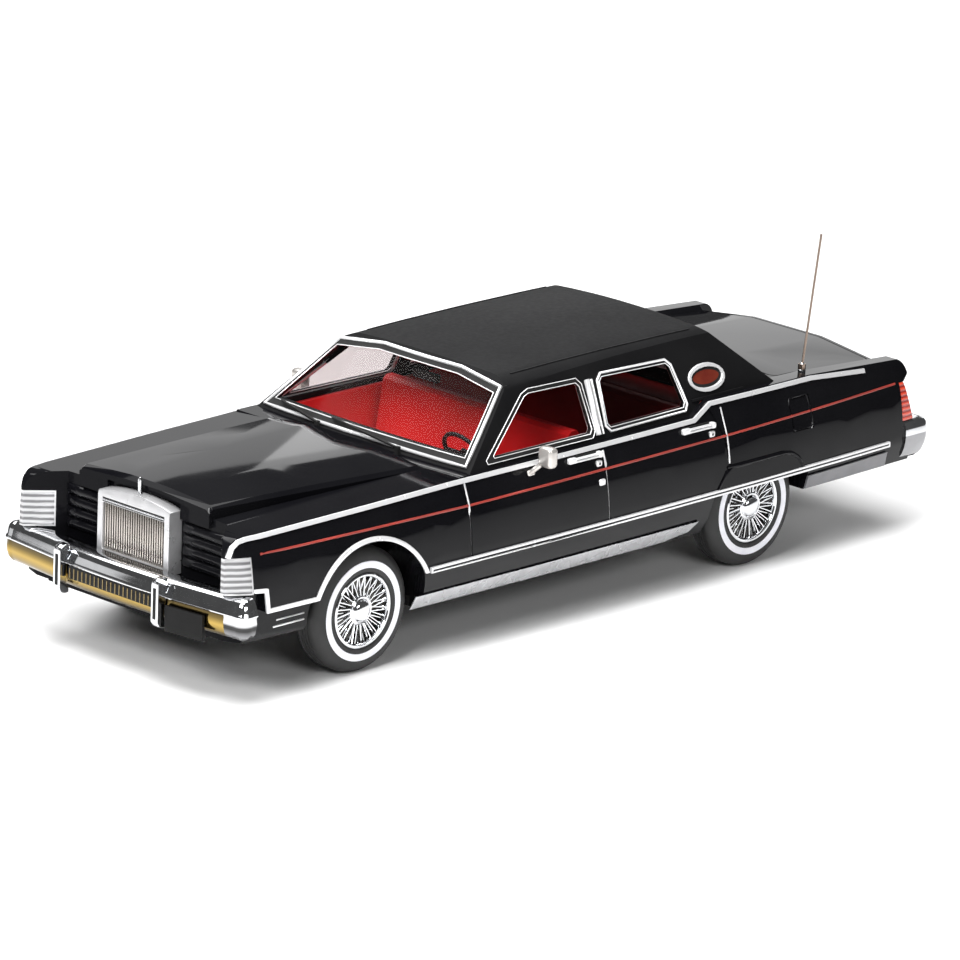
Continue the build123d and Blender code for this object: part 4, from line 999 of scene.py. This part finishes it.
NOSE_CENTRE = 67.7
GUARD_INNER = 8.8
GUARD_Y = 9.45
BUMPER_BOW = 0.25               # how far the bumper curves back between its middle and its guards
BUMPER_LEAN = 0.108             # how far it turns away outside them, in radians
CORNER_X = 64.12
CORNER_Y = 21.35
CORNER_RADIUS = 1.95
CORNER_STEPS = 8
CORNER_SWELL = 0.3
BUMPER_HALF = 23.3
BUMPER_END_X = 63.5
GOLD_REFLECTION_TO = 19.2
BUMPER_SECTION = [
    (-3.3, 14.7), (-1.7, 14.85), (-0.95, 14.72), (-0.5, 14.35), (-0.25, 13.85), (-0.08, 13.25), (0.02, 12.9),
    (0.12, 12.76), (0.14, 12.64), (0.08, 12.5), (-0.1, 12.4), (-0.16, 12.1), (-0.08, 11.5), (-0.12, 10.8),
    (-0.35, 10.0), (-0.8, 9.4), (-1.4, 9.1), (-3.0, 9.0),
]


def bumper_path():
    """Stations along the left half of the bumper: x, y and the way it faces there, in mm and radians."""
    path = []
    for y in (0, 2, 4, 6, 7.5, GUARD_INNER):
        path.append((NOSE_CENTRE - BUMPER_BOW * (y / GUARD_INNER) ** 2, y, 0.0))
    for y in (10.5, 12.5, 14.5, 16.5, 18.2, 19.8, 21.2):
        path.append((NOSE_CENTRE - BUMPER_BOW - BUMPER_LEAN * (y - GUARD_INNER), y, BUMPER_LEAN))
    for k in range(CORNER_STEPS + 1):
        a = BUMPER_LEAN + (pi / 2 - BUMPER_LEAN) * k / CORNER_STEPS
        path.append((CORNER_X + CORNER_RADIUS * cos(a), CORNER_Y + CORNER_RADIUS * sin(a), a))
    path.append((BUMPER_END_X, BUMPER_HALF, pi / 2))
    return path


def front_bumper():
    """Plated bar: a rounded top that falls to a sharp ledge, and an upright lower face with painted
    reflections in banded tones.
    """
    piece = swept_bar("front_bumper_made", bumper_path(), BUMPER_SECTION, CORNER_SWELL)
    finishes = (CHROME, GOLD_REFLECTION_PLATING, CORNER_REFLECTION_PLATING)
    give(piece, *finishes)
    for face in piece.data.polygons:
        # the lower faces take the painted reflections: gold between the corners, bands at the corners
        if face.center.z < REFLECTION_HEAD * MM:
            face.material_index = 1 if face.center.y < GOLD_REFLECTION_TO * MM else 2
    place_on(piece, "root", "chrome", *finishes, angle=30, stands_for=("front_bumper",))


RECESS_HALF = 8.4
RECESS_LOW = 10.7
RECESS_HIGH = 12.35
RIB_X = 67.76
RIB_PITCH = 0.8
RIBS_EACH_SIDE = 10


def bumper_recess():
    """Dark slotted opening between the guards, with upright ribs."""
    low, high = (67.3, -RECESS_HALF, RECESS_LOW), (67.72, RECESS_HALF, RECESS_HIGH)
    back = rounded_block("recess_back", low, high, 0.1)
    place_on(back, "root", "black_plastic", BLACK_PLASTIC)
    ribs = []
    for k in range(-RIBS_EACH_SIDE, RIBS_EACH_SIDE + 1):
        y = RIB_PITCH * k
        ribs.append(rod("rib", (RIB_X, y, RECESS_LOW + 0.15), (RIB_X, y, RECESS_HIGH - 0.15), 0.08, 8))
    place_on(joined("recess_ribs", ribs), "root", "chrome", RIB_GOLD_REFLECTION, angle=60)


def guard_pads():
    """Black pads let into the faces of the two bumper guards."""
    for name, y in (("guard_pad_right", -GUARD_Y), ("guard_pad_left", GUARD_Y)):
        pad = rounded_block(name, (68.3, y - 0.32, 9.7), (68.86, y + 0.32, 14.0), 0.12)
        place_on(pad, "root", "black_plastic", BLACK_PLASTIC)


GRILLE_BARS = 26
GRILLE_HALF = 5.9
BAR_PLACE = (63.3, 17.9)
BAR_SIZE = (1.0, 0.25, 6.4)
HEADER_X = 64.06


def grille_bars():
    """Thin upright bars, one shaped and set out across the mouth."""
    pitch = 2 * GRILLE_HALF / GRILLE_BARS
    x, z = BAR_PLACE
    bpy.ops.object.select_all(action="DESELECT")
    bpy.ops.mesh.primitive_cube_add(
        size=1, location=Vector((x, pitch / 2 - GRILLE_HALF, z)) * MM, scale=Vector(BAR_SIZE) * MM)
    bar = bpy.context.object
    bar.name = "grille_bars_made"
    settle(bar)
    round_edges(bar, 0.09)
    row = bar.modifiers.new("row", "ARRAY")
    row.count = GRILLE_BARS
    row.use_relative_offset = False
    row.use_constant_offset = True
    row.constant_offset_displace = (0, pitch * MM, 0)
    bpy.ops.object.modifier_apply(modifier=row.name)
    place_on(bar, "root", "chrome", GRILLE_METAL, angle=50, stands_for=("grille_bars",))


def grille_surround():
    """Dark back behind the bars, and dark and bright lines across the header above them."""
    back = rounded_block("grille_back", (62.5, -6.1, 14.75), (62.74, 6.1, 21.05), 0.05)
    place_on(back, "root", "black_plastic", BLACK_PLASTIC)
    for z, radius, finish in (
            (21.75, 0.1, BLACK_PLASTIC), (21.5, 0.12, CHROME), (21.28, 0.08, BLACK_PLASTIC)):
        ends = ((HEADER_X, -GRILLE_HALF, z), (HEADER_X, GRILLE_HALF, z))
        line = rod(f"header_line_{z * 100:.0f}", *ends, radius, 8)
        place_on(line, "root", "chrome", finish, angle=60)


COVER_LOW = 15.0
COVER_HIGH = 21.15
COVER_BACK = 61.5
COVER_FACE = 61.72
RIDGES = 4
RIDGE_RISE = 0.62
RIDGE_STEPS = 48
RIDGE_FADE = (                  # share of the ridges' rise at places along the cover
    (7.4, 0.0), (7.45, 0.6), (7.7, 1.0), (10.0, 1.0), (12.5, 1.0), (14.8, 1.0), (15.05, 0.6), (15.1, 0.0),
)


def headlamp_doors():
    """Closed covers with broad rounded ridges that fade out at both ends."""
    steps = range(RIDGE_STEPS + 1)
    heights = [COVER_LOW + (COVER_HIGH - COVER_LOW) * k / RIDGE_STEPS for k in steps]
    ridges = [RIDGE_RISE * abs(sin(pi * RIDGES * k / RIDGE_STEPS)) ** 0.6 for k in steps]
    rows = []
    for y, share in RIDGE_FADE:
        face = [(COVER_FACE + share * out, y, z) for z, out in zip(heights, ridges)]
        foot, head = (COVER_BACK, y, COVER_LOW), (COVER_BACK, y, COVER_HIGH)
        rows.append([foot, *face, head, foot])
    cover = formed_sheet("headlamp_door", closed_ends(rows))
    both_sides(cover, "black_paint", LACQUER, stands_for=("headlamp_doors",))


front_bumper()
grille_bars()
bumper_recess()
guard_pads()
grille_surround()
headlamp_doors()

# ---------------------------------------------------------------- door fittings

HANDLE_Z = 22.05
BUTTON_Z = 20.9


def door_handle(name, x, stands_for):
    """Pull handle: two bars between a plate and an end block, with a dark hollow behind."""
    y = on_side(x, HANDLE_Z).y
    hollow = rounded_block(name + "_hollow", (x - 2.9, y - 0.25, 21.55), (x + 2.9, y + 0.05, 22.55), 0.12)
    both_sides(hollow, "black_plastic", BLACK_PLASTIC)
    parts = [
        rod("bar", (x - 2.6, y + 0.62, 22.34), (x + 1.9, y + 0.5, 22.3), 0.17, 10),
        rod("bar", (x - 2.6, y + 0.62, 21.96), (x + 1.9, y + 0.5, 21.9), 0.17, 10),
        rounded_block("plate", (x + 1.6, y - 0.1, 21.66), (x + 3.1, y + 0.62, 22.5), 0.25),
        rounded_block("end_block", (x - 3.2, y - 0.1, 21.7), (x - 2.4, y + 0.85, 22.55), 0.25),
    ]
    both_sides(joined(name, parts), "chrome", TRIM, stands_for=stands_for)


def handle_button(name, x):
    """Push button with a dark eye, below the rear end of a handle."""
    y, z = on_side(x - 2.55, BUTTON_Z).y, BUTTON_Z
    button = rounded_block(name + "_button", (x - 3.1, y - 0.2, z - 0.42), (x - 2.1, y + 0.32, z + 0.42), 0.2)
    both_sides(button, "chrome", TRIM)
    low, high = (x - 2.75, y + 0.2, z - 0.17), (x - 2.4, y + 0.37, z + 0.17)
    eye = rounded_block(name + "_button_eye", low, high, 0.06)
    both_sides(eye, "black_plastic", BLACK_PLASTIC)


def front_door_lock():
    """Lock plate below the front handle's button."""
    y = on_side(-0.8, 18.4).y
    lock = rounded_block("front_door_lock", (-1.35, y - 0.2, 17.95), (-0.25, y + 0.28, 18.85), 0.22)
    both_sides(lock, "chrome", TRIM)


def door_mirror():
    """Rounded mirror head on a slanting arm with a thin stay."""
    head = rounded_block("head", (10.3, 22.5, 22.95), (12.0, 25.1, 25.85), 0.6)
    arm = rod("arm", (11.9, 21.3, 21.7), (11.2, 23.3, 23.7), 0.36, 12)
    stay = rod("stay", (10.2, 21.3, 22.3), (10.9, 23.0, 23.8), 0.15, 8)
    foot = rounded_block("foot", (11.2, 21.0, 21.3), (12.6, 21.7, 22.2), 0.25)
    mirror = joined("door_mirror", [head, arm, stay, foot])
    both_sides(mirror, "chrome", MIRROR_METAL, stands_for=("door_mirrors",))


for name, x, stands_for in (("front_door_handle", 1.9, ("door_handles",)), ("rear_door_handle", -20.5, ())):
    door_handle(name, x, stands_for)
    handle_button(name, x)
front_door_lock()
door_mirror()

# ---------------------------------------------------------------- tail

TAIL_X = -68.78
TAIL_BOW = 0.0009               # how far the bar curves in at y, over y squared
TAIL_CORNER = (-67.0, 20.95)
TAIL_CORNER_RADIUS = 1.4
TAIL_CORNER_STEPS = 9
TAIL_HALF = 22.36
TAIL_SHADE_TOP = 13.3
TAIL_SECTION = [
    (-3.2, 15.2), (-1.2, 15.3), (-0.55, 15.15), (-0.2, 14.75), (-0.02, 14.1), (0.0, 13.3), (-0.05, 12.5),
    (-0.25, 11.6), (-0.6, 10.7), (-1.1, 10.0), (-1.8, 9.65), (-3.2, 9.6),
]


def rear_bumper():
    """Plated bar with full rounded ends, shaded where it tapers below."""
    corner_x, corner_y = TAIL_CORNER
    half = [(TAIL_X + TAIL_BOW * y * y, y, pi) for y in (0, 3, 6, 9, 12, 15, 17, 19, 20.4)]
    for k in range(1, TAIL_CORNER_STEPS + 1):
        a = pi - pi / 2 * k / TAIL_CORNER_STEPS
        half.append((corner_x + TAIL_CORNER_RADIUS * cos(a), corner_y + TAIL_CORNER_RADIUS * sin(a), a))
    half += [(-65.5, TAIL_HALF, pi / 2), (-63.1, TAIL_HALF, pi / 2)]
    piece = swept_bar("rear_bumper_made", half, TAIL_SECTION)
    give(piece, CHROME, SHADED_PLATING)
    for face in piece.data.polygons:
        face.material_index = 1 if face.center.z < TAIL_SHADE_TOP * MM else 0
    place_on(piece, "root", "chrome", CHROME, SHADED_PLATING, angle=30, stands_for=("rear_bumper",))


ANTENNA_FOOT = (-45.6, 17.67, 24.7)


def antenna_base():
    """Stepped round foot of the antenna, turned lying down and stood up at its place."""
    profile = [(0.0, 0.0), (0.55, 0.0), (0.55, 0.5), (0.36, 0.7), (0.36, 1.3), (0.22, 1.5), (0.0, 1.5)]
    base = turned("antenna_base", 0.0, 0.0, profile, 24)
    base.rotation_euler.x = pi / 2
    base.location = Vector(ANTENNA_FOOT) * MM
    settle(base)
    place_on(base, "root", "chrome", CHROME, angle=40)


rear_bumper()
antenna_base()

# ---------------------------------------------------------------- roof

ABOVE = 60                      # a height well clear of the roof
WELT_Z = 25.12
SEAM_Y = 13.7


def roof_welt():
    """A covered welt along the roof's lower edge beside the rear quarters."""
    points = [surface_point(roof, (-21.8 - 0.8 * k, OUTSIDE, WELT_Z), (0, -1, 0), 0.05) for k in range(14)]
    both_sides(bead("roof_welt", [point for point in points if point], 0.3), "vinyl_black", VINYL)


def roof_seam():
    """A raised seam from front to back over each side of the roof."""
    points = [surface_point(roof, (8.5 - 2.9 * k, SEAM_Y, ABOVE), (0, 0, -1), 0.1) for k in range(13)]
    both_sides(bead("roof_seam", points, 0.24), "vinyl_black", VINYL)


roof_welt()
roof_seam()

# ---------------------------------------------------------------- floor


def studio_floor():
    """A wide pale floor."""
    bpy.ops.object.select_all(action="DESELECT")
    bpy.ops.mesh.primitive_plane_add(size=6)
    floor = bpy.context.object
    floor.name = "studio_floor"
    finish = new_finish("pale_floor", (0.9, 0.9, 0.9), 0.5)
    vary_colour(finish, cloudiness(finish, 30), (0.89, 0.89, 0.89), (0.91, 0.91, 0.91))
    give(floor, finish)


studio_floor()
